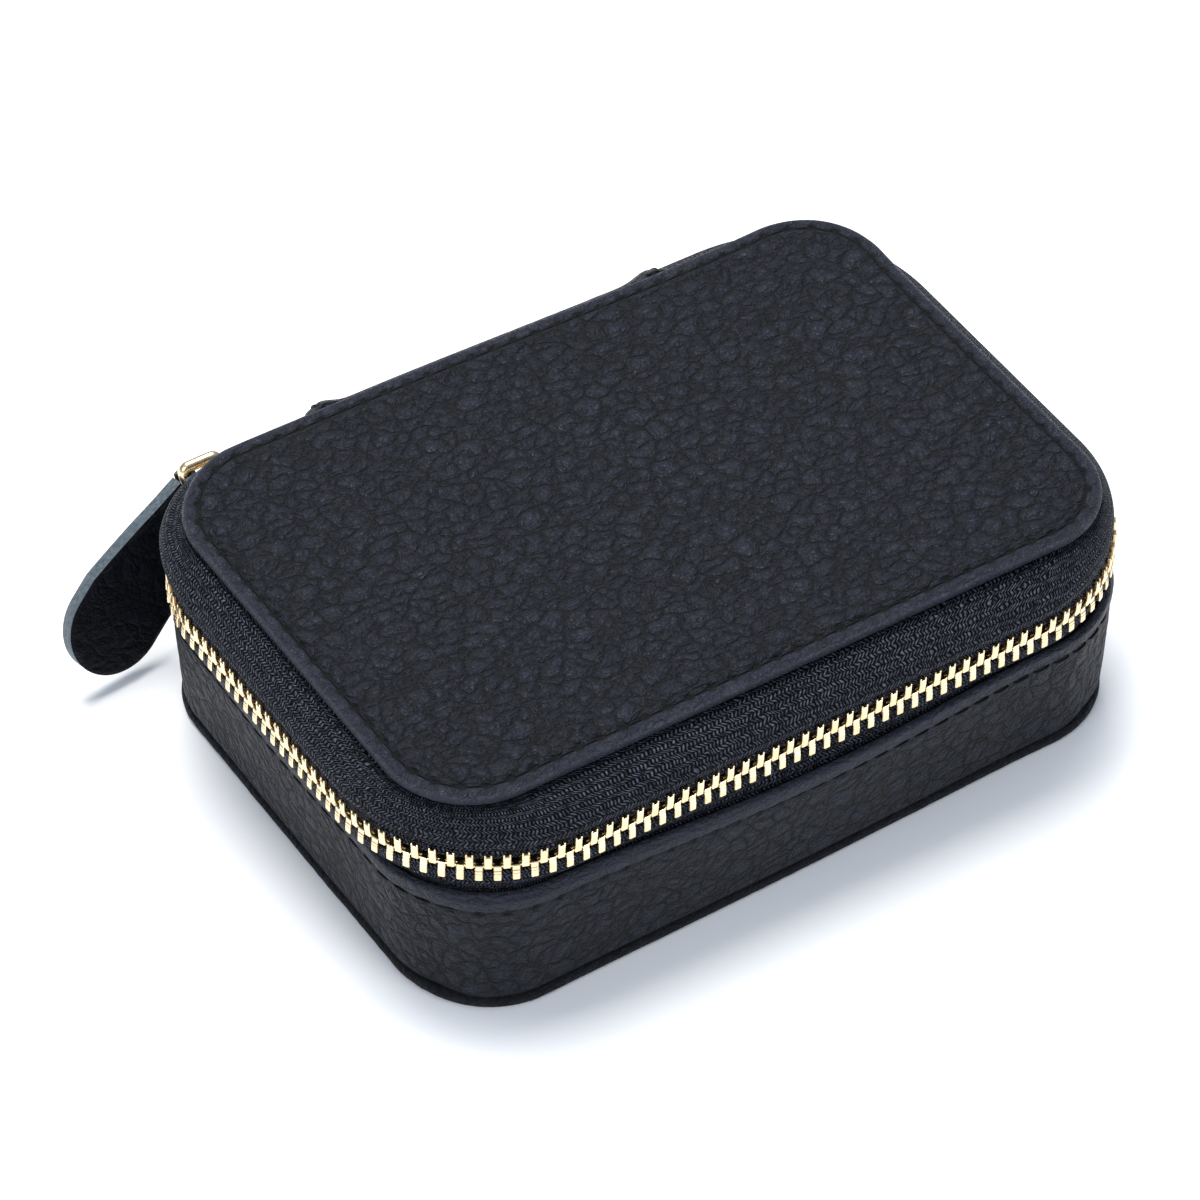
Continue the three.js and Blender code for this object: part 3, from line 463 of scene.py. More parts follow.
def knit(name):
    """woven zip tape: slanted yarn loops in columns that lean one way and then the other"""
    M = Mat(name, Specular_IOR_Level=0.07)
    uv = M.node("ShaderNodeUVMap", uv_map="UVMap").outputs[0]
    sep = M.node("ShaderNodeSeparateXYZ"); M.link(uv, sep.inputs[0])
    U, V = sep.outputs[0], sep.outputs[1]
    wob = M.noise(M.obj(), 420.0, 2.0)
    wob = M.math("MULTIPLY", M.math("SUBTRACT", wob, 0.5), 1.5)
    a = M.math("ADD", M.math("DIVIDE", V, 0.78), wob)
    x = M.math("SUBTRACT", M.math("MULTIPLY", M.math("FRACT", a), 2.0), 1.0)
    par = M.math("SUBTRACT", M.math("MULTIPLY", M.math("FLOORED_MODULO", M.math("FLOOR", a), 2.0), 2.0), 1.0)
    ph = M.math("ADD", M.math("ADD", M.math("DIVIDE", U, 0.60), M.math("MULTIPLY", wob, 1.6)), M.math("MULTIPLY", M.math("MULTIPLY", x, par), 0.46))
    loop = M.math("ABSOLUTE", M.math("SINE", M.math("MULTIPLY", ph, math.pi)))
    side = M.math("SUBTRACT", 1.0, M.math("MULTIPLY", x, x))
    h = M.math("MULTIPLY", M.math("POWER", loop, 1.3), M.math("POWER", side, 0.35))
    yarn = M.noise(M.obj(), 2600.0, 2.0)
    pick = M.remap(M.noise(M.obj(), 1500.0, 2.0), 0.38, 0.66, 0.12, 1.0)
    # painted highlight on the loop tops and painted shade in the hollows between loops; pick gives each loop a random
    # tone
    c = M.mix(M.math("MULTIPLY", M.remap(h, 0.40, 0.92, 0.0, 1.0), pick), (0.0004, 0.0005, 0.0008), (0.100, 0.112, 0.150))
    c = M.mix(M.math("MULTIPLY", M.remap(yarn, 0.45, 0.8, 0.0, 0.6), M.remap(h, 0.35, 0.8, 0.0, 1.0)), c, (0.085, 0.090, 0.110))
    M.set("Base Color", c)
    M.set("Roughness", M.remap(yarn, 0.3, 0.7, 0.50, 0.70))
    M.set("Normal", M.bump(h, 1.0, 0.26))
    return M.m


def velvet(name, base=(0.030, 0.032, 0.041), light=(0.060, 0.064, 0.080)):
    M = Mat(name, Specular_IOR_Level=0.15, Sheen_Weight=0.55, Sheen_Roughness=0.35, Sheen_Tint=(0.55, 0.6, 0.75, 1.0))
    v = M.obj()
    nap = M.noise(v, 130.0, 5.0, 0.6, 0.6)
    pile = M.noise(v, 3800.0, 2.0)
    M.set("Base Color", M.mix(M.math("MULTIPLY", M.remap(nap, 0.35, 0.7, 0.0, 1.0), M.remap(pile, 0.2, 0.8, 0.5, 1.0)), base, light))
    M.set("Roughness", M.remap(nap, 0.3, 0.7, 0.78, 0.95))
    M.set("Normal", M.bump(M.math("ADD", pile, M.math("MULTIPLY", nap, 0.8)), 0.45, 0.12))
    return M.m


def gold(name, rough=(0.2, 0.32)):
    M = Mat(name, Metallic=1.0, Coat_Weight=0.25, Coat_Roughness=0.12)
    v = M.obj()
    t = M.noise(v, 600.0, 3.0)
    M.set("Base Color", M.mix(M.remap(t, 0.3, 0.7, 0.0, 1.0), (0.86, 0.66, 0.38), (0.93, 0.76, 0.49)))
    M.set("Roughness", M.remap(M.noise(v, 1500.0, 3.0), 0.3, 0.7, rough[0], rough[1]))
    M.set("Normal", M.bump(M.noise(v, 3000.0, 2.0), 0.12, 0.03))
    return M.m


def suede(name):
    M = Mat(name, Specular_IOR_Level=0.15, Sheen_Weight=0.35, Sheen_Roughness=0.5)
    v = M.obj()
    f = M.noise(v, 1700.0, 4.0, 0.65); g = M.noise(v, 260.0, 4.0)
    c = M.mix(M.remap(f, 0.3, 0.72, 0.0, 1.0), (0.020, 0.029, 0.036), (0.115, 0.148, 0.172))
    c = M.mix(M.remap(g, 0.4, 0.75, 0.0, 0.6), c, (0.045, 0.062, 0.074))
    M.set("Base Color", c)
    M.set("Roughness", M.remap(g, 0.3, 0.7, 0.8, 0.95))
    M.set("Normal", M.bump(M.math("ADD", f, g), 0.7, 0.16))
    return M.m


def thread(name):
    M = Mat(name, Specular_IOR_Level=0.14, Sheen_Weight=0.02)
    v = M.obj()
    f = M.noise(v, 2600.0, 2.0)
    M.set("Base Color", M.mix(f, (0.0010, 0.0011, 0.0016), (0.0060, 0.0066, 0.0090)))
    M.set("Roughness", M.remap(f, 0.3, 0.7, 0.45, 0.65))
    M.set("Normal", M.bump(f, 0.6, 0.06))
    return M.m


def board(name):
    M = Mat(name, Specular_IOR_Level=0.2)
    v = M.obj()
    f = M.noise(v, 900.0, 5.0, 0.7); g = M.noise(v, 200.0, 3.0)
    M.set("Base Color", M.mix(M.remap(M.math("ADD", f, M.math("MULTIPLY", g, 0.4)), 0.5, 0.9, 0.0, 1.0), (0.20, 0.185, 0.16), (0.34, 0.32, 0.28)))
    M.set("Roughness", M.remap(f, 0.3, 0.7, 0.82, 0.95))
    M.set("Normal", M.bump(f, 0.4, 0.08))
    return M.m


def elastic(name):
    M = Mat(name, Specular_IOR_Level=0.2, Sheen_Weight=0.25)
    v = M.obj()
    sep = M.node("ShaderNodeSeparateXYZ"); M.link(v, sep.inputs[0])
    rib = M.math("ABSOLUTE", M.math("SINE", M.math("MULTIPLY", sep.outputs[0], math.pi / 0.0011)))
    f = M.noise(v, 2200.0, 3.0)
    # painted shade in the grooves between the ribs: the base colour follows the rib height
    M.set("Base Color", M.mix(M.math("MULTIPLY", rib, f, clamp=True), (0.008, 0.008, 0.011), (0.05, 0.053, 0.066)))
    M.set("Roughness", M.remap(f, 0.3, 0.7, 0.6, 0.8))
    M.set("Normal", M.bump(rib, 0.6, 0.15))
    return M.m


LEATHER = leather("leather_pebbled")
LEATHER_EDGE = leather("leather_cut_edge", top=(0.010, 0.011, 0.015), low=(0.003, 0.003, 0.004), wear_and_highlight=(0.03, 0.032, 0.04), rough=(0.6, 0.75), fine=0.9, cell=1.6)
# painted shade: the tab's front face is the same pebbled leather made several times darker, standing in for the shadow
# it sits in
TAB_FACE_SHADED = leather("leather_tab_face_shaded", top=(0.0030, 0.0044, 0.0096), low=(0.0010, 0.0013, 0.0026), wear_and_highlight=(0.012, 0.014, 0.019), spec=0.10, fine=0.5)
SUEDE = suede("suede_cut")
KNIT = knit("tape_knit")
VELVET = velvet("velvet")
ROLLV = velvet("velvet_roll", (0.038, 0.040, 0.050), (0.075, 0.080, 0.098))
GOLD = gold("gold_pale")
THREAD = thread("thread_black")
BOARD = board("grey_board")
ELASTIC = elastic("elastic_ribbed")


# --------------------------------------------------------------- camera, light
cam_data = bpy.data.cameras.new("camera")
cam = bpy.data.objects.new("camera", cam_data)
bpy.context.scene.collection.objects.link(cam)
cam_data.lens, cam_data.sensor_width = 6186.84 * 36 / 1200, 36.0
cam_data.clip_start, cam_data.clip_end = 0.05, 20
R2, U2, BK = Vector((0.8409, -0.5412, 0.0089)), Vector((0.3741, 0.593, 0.713)), Vector((-0.3912, -0.5962, 0.7011))
cam.matrix_world = Matrix(((R2.x, U2.x, BK.x, -0.36245), (R2.y, U2.y, BK.y, -0.54130), (R2.z, U2.z, BK.z, 0.65883), (0, 0, 0, 1)))
bpy.context.scene.camera = cam

world = bpy.data.worlds.new("world"); bpy.context.scene.world = world
world.use_nodes = True
bg = world.node_tree.nodes["Background"]
bg.inputs[0].default_value = (0.66, 0.80, 1.0, 1); bg.inputs[1].default_value = 0.42
bpy.context.scene.view_settings.view_transform = "Standard"
bpy.context.scene.view_settings.look = "None"


def area(name, pos, target, size, watts, color=(1, 1, 1), size_y=None):
    d = bpy.data.lights.new(name, "AREA"); d.energy = watts; d.color = color
    d.shape = "RECTANGLE"; d.size = size; d.size_y = size_y or size
    o = bpy.data.objects.new(name, d)
    bpy.context.scene.collection.objects.link(o)
    o.location = pos
    o.rotation_euler = (Vector(target) - Vector(pos)).to_track_quat("-Z", "Y").to_euler()
    return o


area("key", (0.05, 0.36, 1.08), (0, 0, 0.0), 0.62, 17.5, (1.0, 0.985, 0.96))
area("fill_left", (-1.0, -0.35, 0.75), (0, 0, 0.02), 0.6, 5.6, (0.97, 0.98, 1.0))
area("fill_front", (0.35, -1.1, 0.7), (0, 0, 0.02), 0.6, 4.4, (0.94, 0.97, 1.0))

FLOOR = Mat("floor_white", Specular_IOR_Level=0.1, Roughness=0.9)
fl = FLOOR.noise(FLOOR.obj(), 3.0, 2.0)
FLOOR.set("Base Color", FLOOR.mix(fl, (0.955, 0.957, 0.965), (0.965, 0.965, 0.970)))
me = bpy.data.meshes.new("floor")
me.from_pydata([(-4, -4, 0), (4, -4, 0), (4, 4, 0), (-4, 4, 0)], [], [(0, 1, 2, 3)])
me.materials.append(FLOOR.m)
floor = bpy.data.objects.new("floor", me)
bpy.context.scene.collection.objects.link(floor)
floor.location.z = -0.0001


# ------------------------------------------------------------------- lid panel
def stitch_mesh(points, tangents, normals, length=3.0, r=0.24, rise=0.16, sink=0.42):
    parts = []
    for p, t, n in zip(points, tangents, normals):
        x = np.linspace(-0.5, 0.5, 9)
        h = rise - (rise + sink) * np.abs(2 * x) ** 5
        P = p + t * (x * length)[:, None] + n * h[:, None]
        parts.append(tube(P, r * (1 - 0.25 * np.abs(2 * x) ** 4), 7, up=n))
    return join(parts)


def spaced(P, spacing, closed=True, phase=0.5):
    s = arclen(P, closed); L = s[-1]; k = int(round(L / spacing))
    Q = np.vstack([P, P[:1]]) if closed else P
    t = (np.arange(k) + phase) * L / k
    out = np.column_stack([np.interp(t, s, Q[:, i]) for i in range(Q.shape[1])])
    e = 0.05
    a = np.column_stack([np.interp((t - e) % L if closed else t - e, s, Q[:, i]) for i in range(Q.shape[1])])
    b = np.column_stack([np.interp((t + e) % L if closed else t + e, s, Q[:, i]) for i in range(Q.shape[1])])
    T = b - a; T /= np.linalg.norm(T, axis=1)[:, None]
    return out, T, L / k


STITCH_D = 2.45
path, _n = ring(PANEL, STITCH_D, (60, 100, 60, 100), 40)
sp, st, panel_step = spaced(path, 3.7)


def panel_base(d):
    edge = 38.85 + 0.82 * np.sqrt(np.clip(1 - (1 - np.clip(d, 0, 1.15) / 1.15) ** 2, 0, 1))
    z = edge - 0.06 * sstep(1.1, 2.2, d)
    z = z + 0.20 * sstep(2.4, 3.6, d) + 0.10 * sstep(6, 25, d)
    return z


def settle(V):
    """the handmade panel is a little fuller along the back's left part and at the back right corner"""
    V = V.copy()
    x, y = V[:, 0].copy(), V[:, 1].copy()
    V[:, 1] += 1.25 * (1 - sstep(-24.0, 34.0, x)) * sstep(-58.0, -44.0, x) * sstep(8.0, 40.0, y)
    w = np.exp(-((x - 54.0) ** 2 + (y - 34.5) ** 2) / 110.0)
    V[:, 0] += 0.75 * w; V[:, 1] += 0.75 * w
    return V


panel_crease, panel_plain = [], []
def panel_z(x, y, d):
    h, c = grain(x * 0.93 + y * 0.36, y * 0.93 - x * 0.36, 11, 3.15, 0, 1.12)
    mask = sstep(2.6, 3.4, d)
    border = 0.035 * (lattice(x / 2.1, y / 2.1, 5) - 0.5) + 0.02 * (lattice(x / 0.9, y / 0.9, 6) - 0.5)
    z = panel_base(d) + h * 0.30 * mask + border * (1 - mask)
    z = z - 0.22 * np.exp(-((d - STITCH_D) / 0.30) ** 2)
    # a hole where the thread goes down, between two stitches
    hx, hy = sp[:, 0] + st[:, 0] * panel_step / 2, sp[:, 1] + st[:, 1] * panel_step / 2
    near = np.where(np.abs(d - STITCH_D) < 1.4)[0]
    if len(near):
        dd = np.full(len(near), 9.0)
        for a, b in zip(hx, hy): dd = np.minimum(dd, np.hypot(x[near] - a, y[near] - b))
        z[near] -= 0.22 * np.exp(-(dd / 0.45) ** 2)
    z = z + (0.10 * (lattice(x / 17, y / 17, 8) - 0.5) + 0.10 * (lattice(x / 5.5, y / 5.5, 18) - 0.5)) * mask
    # the stitch groove and the holes go into "crease", which the leather paints dark as shade
    hole = np.zeros(len(d))
    if len(near): hole[near] = np.exp(-(dd / 0.82) ** 4)
    panel_crease.append(np.clip(0.72 * np.exp(-((d - STITCH_D) / 0.34) ** 2) + 0.95 * hole, 0, 1))
    panel_plain.append((1 - mask) * 0.62)
    return z


levels = np.concatenate([[0.0, 0.1, 0.28, 0.5, 0.8], np.arange(1.15, 14.0, 0.38)])
under = [(1.6, 37.72), (1.0, 37.74), (0.45, 37.86), (0.12, 38.25)]
V, F, D, n = pad_surface(PANEL, levels, 216, 122, 50, panel_z, under)
F.append(list(range(n))[::-1])
crease = np.concatenate([np.zeros(n * len(under))] + panel_crease)
plain = np.concatenate([np.full(n * len(under), 0.8)] + panel_plain)
# the outermost top edge goes into "edge", painted lighter: partly rubbing, partly a painted highlight
edge = np.exp(-((D - 0.22) / 0.24) ** 2) * (V[:, 2] > 38.3) * (0.6 + 0.4 * lattice(V[:, 0] / 3, V[:, 1] / 3, 3))
build("lid_panel", settle(V), F, [LEATHER], "lid", ["lid_panel_leather"], "leather", {"crease": crease, "edge": edge, "plain": plain})
z0 = panel_base(np.array([STITCH_D]))[0] - 0.22
Vs, Fs = stitch_mesh(np.column_stack([sp, np.full(len(sp), z0)]), np.column_stack([st, np.zeros(len(st))]), np.repeat([[0, 0, 1.0]], len(sp), 0), 2.9, 0.15)
build("lid_panel_stitches", settle(Vs), Fs, [THREAD], "lid", slot="leather")


# ------------------------------------------------------------------- the wall
SIDE, COR = (102, 172, 102, 172), 60
fo, fn = ring(FOOT, 0, SIDE, COR)
ri, rn = ring(RIM, 0, SIDE, COR)
w_len = arclen((fo + ri) / 2, True)
WU, WL = w_len[:-1], w_len[-1]
wn_y = (fn + rn)[:, 1] / np.linalg.norm(fn + rn, axis=1)
in_corner = np.zeros(len(fo)); pos = 0
for q in range(4):
    pos += SIDE[q]
    in_corner[pos:pos + COR] = np.sin(np.linspace(0, math.pi, COR)) ** 0.6
    pos += COR
def wall_point(z, d):
    t = z / RIM_Z
    a, _ = ring(FOOT, d, SIDE, COR, 0.4); b, _ = ring(RIM, d, SIDE, COR, 0.4)
    return a + (b - a) * t
WALL_ST = 19.7
front_w = sstep(0.50, 0.90, -wn_y)
right_w = sstep(0.45, 0.90, (fn + rn)[:, 0] / np.linalg.norm(fn + rn, axis=1))
wp = wall_point(WALL_ST, 0)
ws, wt, wall_step = spaced(wp, 3.7)
ws_u = (np.arange(len(ws)) + 0.5) * WL / len(ws)
wn = fn + rn; wn /= np.linalg.norm(wn, axis=1)[:, None]
rows, cr_rows, ed_rows, pl_rows = [], [], [], []
zs = np.concatenate([[W0, 2.15], np.arange(2.6, 22.3, 0.42)])
for z in zs:
    P = wall_point(z, 0)
    h, c = grain(WU, np.full(len(WU), z), 31, 3.0, WL, 1.25)
    m = sstep(2.0, 3.6, z) * (1 - sstep(18.2, 19.5, z))
    hem = 0.16 * sstep(19.9, 20.8, z)
    fold = 0.10 * np.sin(WU / 3.4 * 2 * math.pi + 2.5 * lattice(WU / 9, np.full(len(WU), z / 7), 4)) * in_corner * sstep(2, 7, z) * (1 - sstep(14, 19, z))
    g = -0.20 * math.exp(-((z - WALL_ST) / 0.4) ** 2)
    lean = front_w * (1.45 - 2.0 * np.clip((P[:, 0] + 47.0) / 85.0, 0, 1)) * (1 - 0.75 * z / RIM_Z) + right_w * 0.75 * (1 - 0.55 * z / RIM_Z)
    off = lean + h * 0.30 * m * (1 - 0.5 * in_corner) + hem + fold + g - 0.35 * (1 - sstep(1.9, 2.9, z)) + 0.02 * (lattice(WU / 1.2, np.full(len(WU), z / 1.2), 9) - 0.5)
    if abs(z - WALL_ST) < 1.2:
        hu = ((np.arange(len(ws)) + 1.0) * WL / len(ws)) % WL
        du = np.abs(WU[:, None] - hu[None]); du = np.minimum(du, WL - du).min(1)
        off = off - 0.2 * np.exp(-(du ** 2 + (z - WALL_ST) ** 2) / 0.2)
    rows.append(np.column_stack([P + wn * off[:, None], np.full(len(P), z)]))
    hole = np.exp(-(du ** 2 + (z - WALL_ST) ** 2) / 0.3) if abs(z - WALL_ST) < 1.2 else np.zeros(len(P))
    # painted shade along the stitch groove, in the stitch holes and in a band at the foot
    cr_rows.append(np.clip(np.full(len(P), 0.8 * math.exp(-((z - WALL_ST) / 0.36) ** 2) + 0.6 * (1 - sstep(1.9, 2.8, z))) + 0.9 * hole, 0, 1))
    ed_rows.append(np.zeros(len(P))); pl_rows.append(np.full(len(P), 0.75 * (1 - m)))
for d, z in ((-0.14, 22.35), (-0.02, 22.62), (0.3, 22.8), (0.7, 22.86), (1.05, 22.8), (1.32, 22.5), (1.4, 22.0), (1.4, 17.0), (1.4, 9.0), (1.4, W0)):
    P = wall_point(min(z, RIM_Z), d)
    rows.append(np.column_stack([P, np.full(len(P), z)]))
    # the top of the rim is painted lighter through "edge", partly a painted highlight
    cr_rows.append(np.zeros(len(P))); ed_rows.append(np.full(len(P), 0.55 if z > 22.5 else 0.0)); pl_rows.append(np.full(len(P), 0.75))
Vw, Fw, _ = loft(rows, True, True)
build("wall_leather", Vw, Fw, [LEATHER], "case", ["base_wall_leather"], "leather", {"crease": np.concatenate(cr_rows), "edge": np.concatenate(ed_rows), "plain": np.concatenate(pl_rows)})
wnn = np.column_stack([np.interp(ws_u, WU, wn[:, 0]), np.interp(ws_u, WU, wn[:, 1]), np.zeros(len(ws))])
wnn = np.column_stack([wt[:, 1], -wt[:, 0], np.zeros(len(ws))])
wnn *= np.sign((wnn[:, :2] * ws).sum(1))[:, None]
Vs, Fs = stitch_mesh(np.column_stack([ws, np.full(len(ws), WALL_ST)]) - wnn * 0.18, np.column_stack([wt, np.zeros(len(ws))]), wnn, 3.0, 0.22)
build("wall_stitches", Vs, Fs, [THREAD], "case", slot="leather")

# bottom leather: its cut edge shows as a narrow band round the foot
BOT = dict(a=60.5, b=43.4, R=15.4, k=FOOT["k"])
bot_crease = []
def bottom_z(x, y, d):
    h, c = grain(x, y, 51, 3.2)
    m = sstep(1.4, 3.0, d)
    # the grain's creases go into "crease", painted dark as shade
    bot_crease.append(c * m * 0.3)
    return np.maximum(0.0, 0.28 * (1 - sstep(0.0, 0.8, d)) + (0.10 - h) * 0.8 * m * 0.5)
blev = np.concatenate([[0.25, 0.6, 1.0, 1.5], np.arange(2.2, 15.3, 0.75)])
side_b = (110, 68)
bsx, bsy, bc = 110, 66, 34
P0, _ = ring(BOT, 0, (bsy, bsx, bsy, bsx), bc)
extra = [(4.0, 1.6), (1.6, 1.6), (0.9, 1.62), (0.45, 1.58), (0.12, 1.40), (0.0, 1.1), (0.0, 0.75), (0.08, 0.45)]
V, F, D, n = pad_surface(BOT, blev, bsx, bsy, bc, bottom_z, extra)
bl = arclen(P0, True)[:-1]
for j in range(2, len(extra)):
    w = 0.10 * (lattice(bl / 1.3, np.full(n, j * 0.7), 71) - 0.5)
    s = slice(j * n, (j + 1) * n)
    V[s, :2] += V[s, :2] / np.linalg.norm(V[s, :2], axis=1)[:, None] * w[:, None]
V[:, 1] -= (1.45 - 2.0 * np.clip((V[:, 0] + 47.0) / 85.0, 0, 1)) * sstep(25.0, 42.5, -V[:, 1])
V[:, 0] += 0.75 * sstep(40.0, 58.5, V[:, 0])
F.append(list(range(n))[::-1])
crease = np.concatenate([np.zeros(n * len(extra))] + bot_crease)
edge = np.where((V[:, 2] > 0.2) & (D < 0.5), 0.35 * lattice(V[:, 0] / 1.2, V[:, 1] / 1.2, 2), 0.0)
ids = [1 if all(v < len(extra) * n for v in f) else 0 for f in F]
build("bottom_leather", V, F, [LEATHER, LEATHER_EDGE], "case", ["base_bottom_leather"], "leather", {"crease": crease, "edge": edge}, mat_ids=ids)


# -------------------------------------------------------------------- zip tapes
def tape(name, sections, lines, body=None, rep=(), part=None, blend=None, thick=TAPE_T, bulge=None):
    """sections: (line position t, z, thickness) down the middle of the cloth; lines: function t -> (P, N) in plan."""
    mid, ths = [], []
    for t, z, th in sections:
        P, Nn = lines(t)
        if bulge is not None: P = P + Nn * bulge(z)[:, None]
        mid.append(np.column_stack([P, np.full(len(P), z)])); ths.append(th)
    mid = np.array(mid); base_n = lines(0)[1]
    out3 = np.column_stack([base_n, np.zeros(len(base_n))])
    tan_v = np.gradient(mid, axis=0)
    tan_u = np.gradient(mid, axis=1)
    nrm = np.cross(tan_u, tan_v); nrm /= np.linalg.norm(nrm, axis=2)[..., None]
    flip = np.sign((nrm * out3[None]).sum(2) + 0.25 * nrm[..., 2]); flip[flip == 0] = 1
    nrm *= flip[..., None]
    if part is not None: mid, nrm = mid[:, part], nrm[:, part]
    ths = np.array(ths)[:, None, None]
    outer, inner = mid + nrm * ths / 2, mid - nrm * ths / 2
    m = len(mid)
    cum = np.concatenate([[0], np.cumsum(np.linalg.norm(np.diff(mid[:, mid.shape[1] // 2], axis=0), axis=1))])
    U_all = arclen(lines(0)[0]); U_part = U_all[part] if part is not None else U_all
    Vv = list(cum) + list(cum[::-1]); Vv.append(Vv[0])
    rows = np.concatenate([outer, inner[::-1]])
    v, f, uv = loft(rows, False, True, True, list(U_part), Vv)
    o = build(name, v, f, [KNIT], body, rep, "tape", uvs=uv, fix=False)
    me = o.data
    bm = bmesh.new(); bm.from_mesh(me); bmesh.ops.recalc_face_normals(bm, faces=bm.faces); bm.to_mesh(me); bm.free()
    if blend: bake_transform(o)
    return o


chain_line = open_line(CHAIN)
edge_line = open_line(PANEL, 0.7)
flange_line = open_line(PANEL, 5.0)
NL = len(chain_line[0])
U_chain = arclen(chain_line[0])
up_t = np.array([0, 0, -0.04, -0.2, -0.08, 0.22, 0.60, 1.0]); up_z = np.array([29.75, 30.4, 31.3, 32.9, 34.35, 35.65, 36.72, 37.2])
s_k = np.array([0, 0.65, 1.55, 3.25, 4.8, 6.8, 9.0, 11.2])
def pchip(x, y, q):
    h = np.diff(x); dl = np.diff(y) / h; d = np.zeros(len(x))
    for i in range(1, len(x) - 1):
        if dl[i - 1] * dl[i] > 0:
            w1, w2 = 2 * h[i] + h[i - 1], h[i] + 2 * h[i - 1]
            d[i] = (w1 + w2) / (w1 / dl[i - 1] + w2 / dl[i])
    d[0], d[-1] = dl[0], dl[-1]
    i = np.clip(np.searchsorted(x, q) - 1, 0, len(x) - 2); t = (q - x[i]) / h[i]
    return ((1 + 2 * t) * (1 - t) ** 2 * y[i] + t * (1 - t) ** 2 * h[i] * d[i] + t * t * (3 - 2 * t) * y[i + 1] + t * t * (t - 1) * h[i] * d[i + 1])
sq = np.linspace(0, 11.2, 27)
tt, tz = pchip(s_k, up_t, sq), pchip(s_k, up_z, sq)
up_sec = [(t, z, 1.05 if s < 0.8 else (1.05 - 0.50 * float(sstep(0.8, 1.7, s)))) for t, z, s in zip(tt, tz, sq)]
up_sec[0] = (up_sec[0][0], up_sec[0][1], 0.7)
up_sec += [(1.33, 37.18, 0.5), (1.66, 37.15, 0.5), (2.0, 37.15, 0.5)]
pleat = np.zeros(NL)
def up_line(t):
    if t <= 1: return chain_line[0] + (edge_line[0] - chain_line[0]) * t, chain_line[1]
    return edge_line[0] + (flange_line[0] - edge_line[0]) * (t - 1), chain_line[1]
half = NL // 2
# the slider holds the cloth out at the back left corner
full = np.degrees(np.arctan2(chain_line[0][:, 1] - SC[1], chain_line[0][:, 0] - SC[0]))
full = 1.5 * np.exp(-((full - 138.0) / 30.0) ** 2) * (chain_line[0][:, 0] < -30.0)
def up_bulge(z):
    return full * sstep(31.9, 33.9, z) * (1 - sstep(35.3, 37.0, z))
TL_A, TL_B = (-51.0, 43.0, 31.0), None
def blend_axis(p0, g):
    g = np.array(g); return (p0, tuple(np.array(p0) + g / (g @ g)))
left_axis = blend_axis((-50.4, 42.2, 31.0), (-0.030, -0.049, 0.155))
right_axis = blend_axis((45.0, 44.2, 31.0), (0.030, -0.049, 0.155))
tape("upper_tape_left", up_sec, up_line, None, ["upper_tape", "closed_end_tape_left"], slice(0, half + 1), left_axis, bulge=up_bulge)
tape("upper_tape_right", up_sec, up_line, None, ["upper_tape", "closed_end_tape_right"], slice(half, NL), right_axis, bulge=up_bulge)


def low_line(t):
    # chain line -> the wall's inner face
    c = chain_line[0]
    a, b = open_line(FOOT, LEATHER_T + GAP + 0.3), open_line(RIM, LEATHER_T + GAP + 0.3)
    rim = a[0] + (b[0] - a[0]) * 0.97
    return c + (rim - c) * t, chain_line[1]
low_s = [(0.0, 27.45, 0.7), (0.0, 27.1, 1.05), (0.0, 26.6, 1.05), (0.0, 26.2, 0.8), (0.0, 25.6, 0.5), (0.03, 24.9, 0.5), (0.18, 24.4, 0.55), (0.5, 23.9, 0.6), (0.75, 23.35, 0.6), (0.93, 22.7, 0.6), (1.0, 21.8, 0.6), (1.0, 20.4, 0.6), (1.0, 17.2, 0.6)]
tape("lower_tape_cloth", low_s, low_line, "case", ["lower_tape"])


# ------------------------------------------------------------------- zip teeth
def chain_at(s):
    """s from the back at x = -35 round the case, anticlockwise seen from below the lid"""
    P, Nn = open_line(CHAIN, 0, CHAIN_END, 14, 200, 60, 60)
    L = arclen(P)
    p = np.array([np.interp(s, L, P[:, 0]), np.interp(s, L, P[:, 1])])
    n = np.array([np.interp(s, L, Nn[:, 0]), np.interp(s, L, Nn[:, 1])]); n /= np.linalg.norm(n)
    return p, n, L[-1]


def tooth_shape(up):
    parts = [
        cham_box(-0.56, 0.56, -1.05, 1.05, -0.34, 0.74, 0.12),       # head
        cham_box(-0.54, 0.54, -1.16, 1.16, 0.56, 1.30, 0.12),        # shoulder
        cham_box(-0.55, 0.55, 0.62, 1.22, 1.05, 2.15 if up > 0 else 2.45, 0.13),     # outer leg
        cham_box(-0.55, 0.55, -1.22, -0.62, 1.05, 2.15 if up > 0 else 2.45, 0.13),   # inner leg
        cham_box(-0.90, 0.90, -0.40, 0.40, -0.12, 0.22, 0.09),       # rib that locks with its neighbours
        cham_box(0.40, 0.95, 0.30, 0.82, -0.26, 0.08, 0.08),         # nib reaching the next tooth of the other row
    ]
    if up > 0:
        for x0 in (-0.55, 0.29):
            parts += [cham_box(x0, x0 + 0.26, 0.66, 1.17, 1.95, 2.60, 0.07), cham_box(x0, x0 + 0.26, -1.17, -0.66, 1.95, 2.60, 0.07)]
    V, F = join(parts)
    V = V.copy(); V[:, 2] *= up
    return V, F


def teeth_row(name, up, s0, s1, phase, **kw):
    shape, faces = tooth_shape(up)
    parts = []
    total = chain_at(0)[2]
    k = 0
    s = s0
    while s <= s1 + 1e-6:
        p, n, _ = chain_at(s)
        t = np.array([-n[1], n[0]])
        j = 0.04 * (rnd(np.array([k]), np.array([up + 3]), 5)[0] - 0.5)
        M = np.column_stack([np.append(t, 0), np.append(n, 0), [0, 0, 1.0]])
        V = shape @ M.T + np.array([p[0] + n[0] * j, p[1] + n[1] * j, CHAIN_Z + 0.05 * up + j])
        parts.append((V, faces)); s += PITCH; k += 1
    V, F = join(parts)
    return build(name, V, F, [GOLD], sharp=35, slot="gold_metal", **kw)


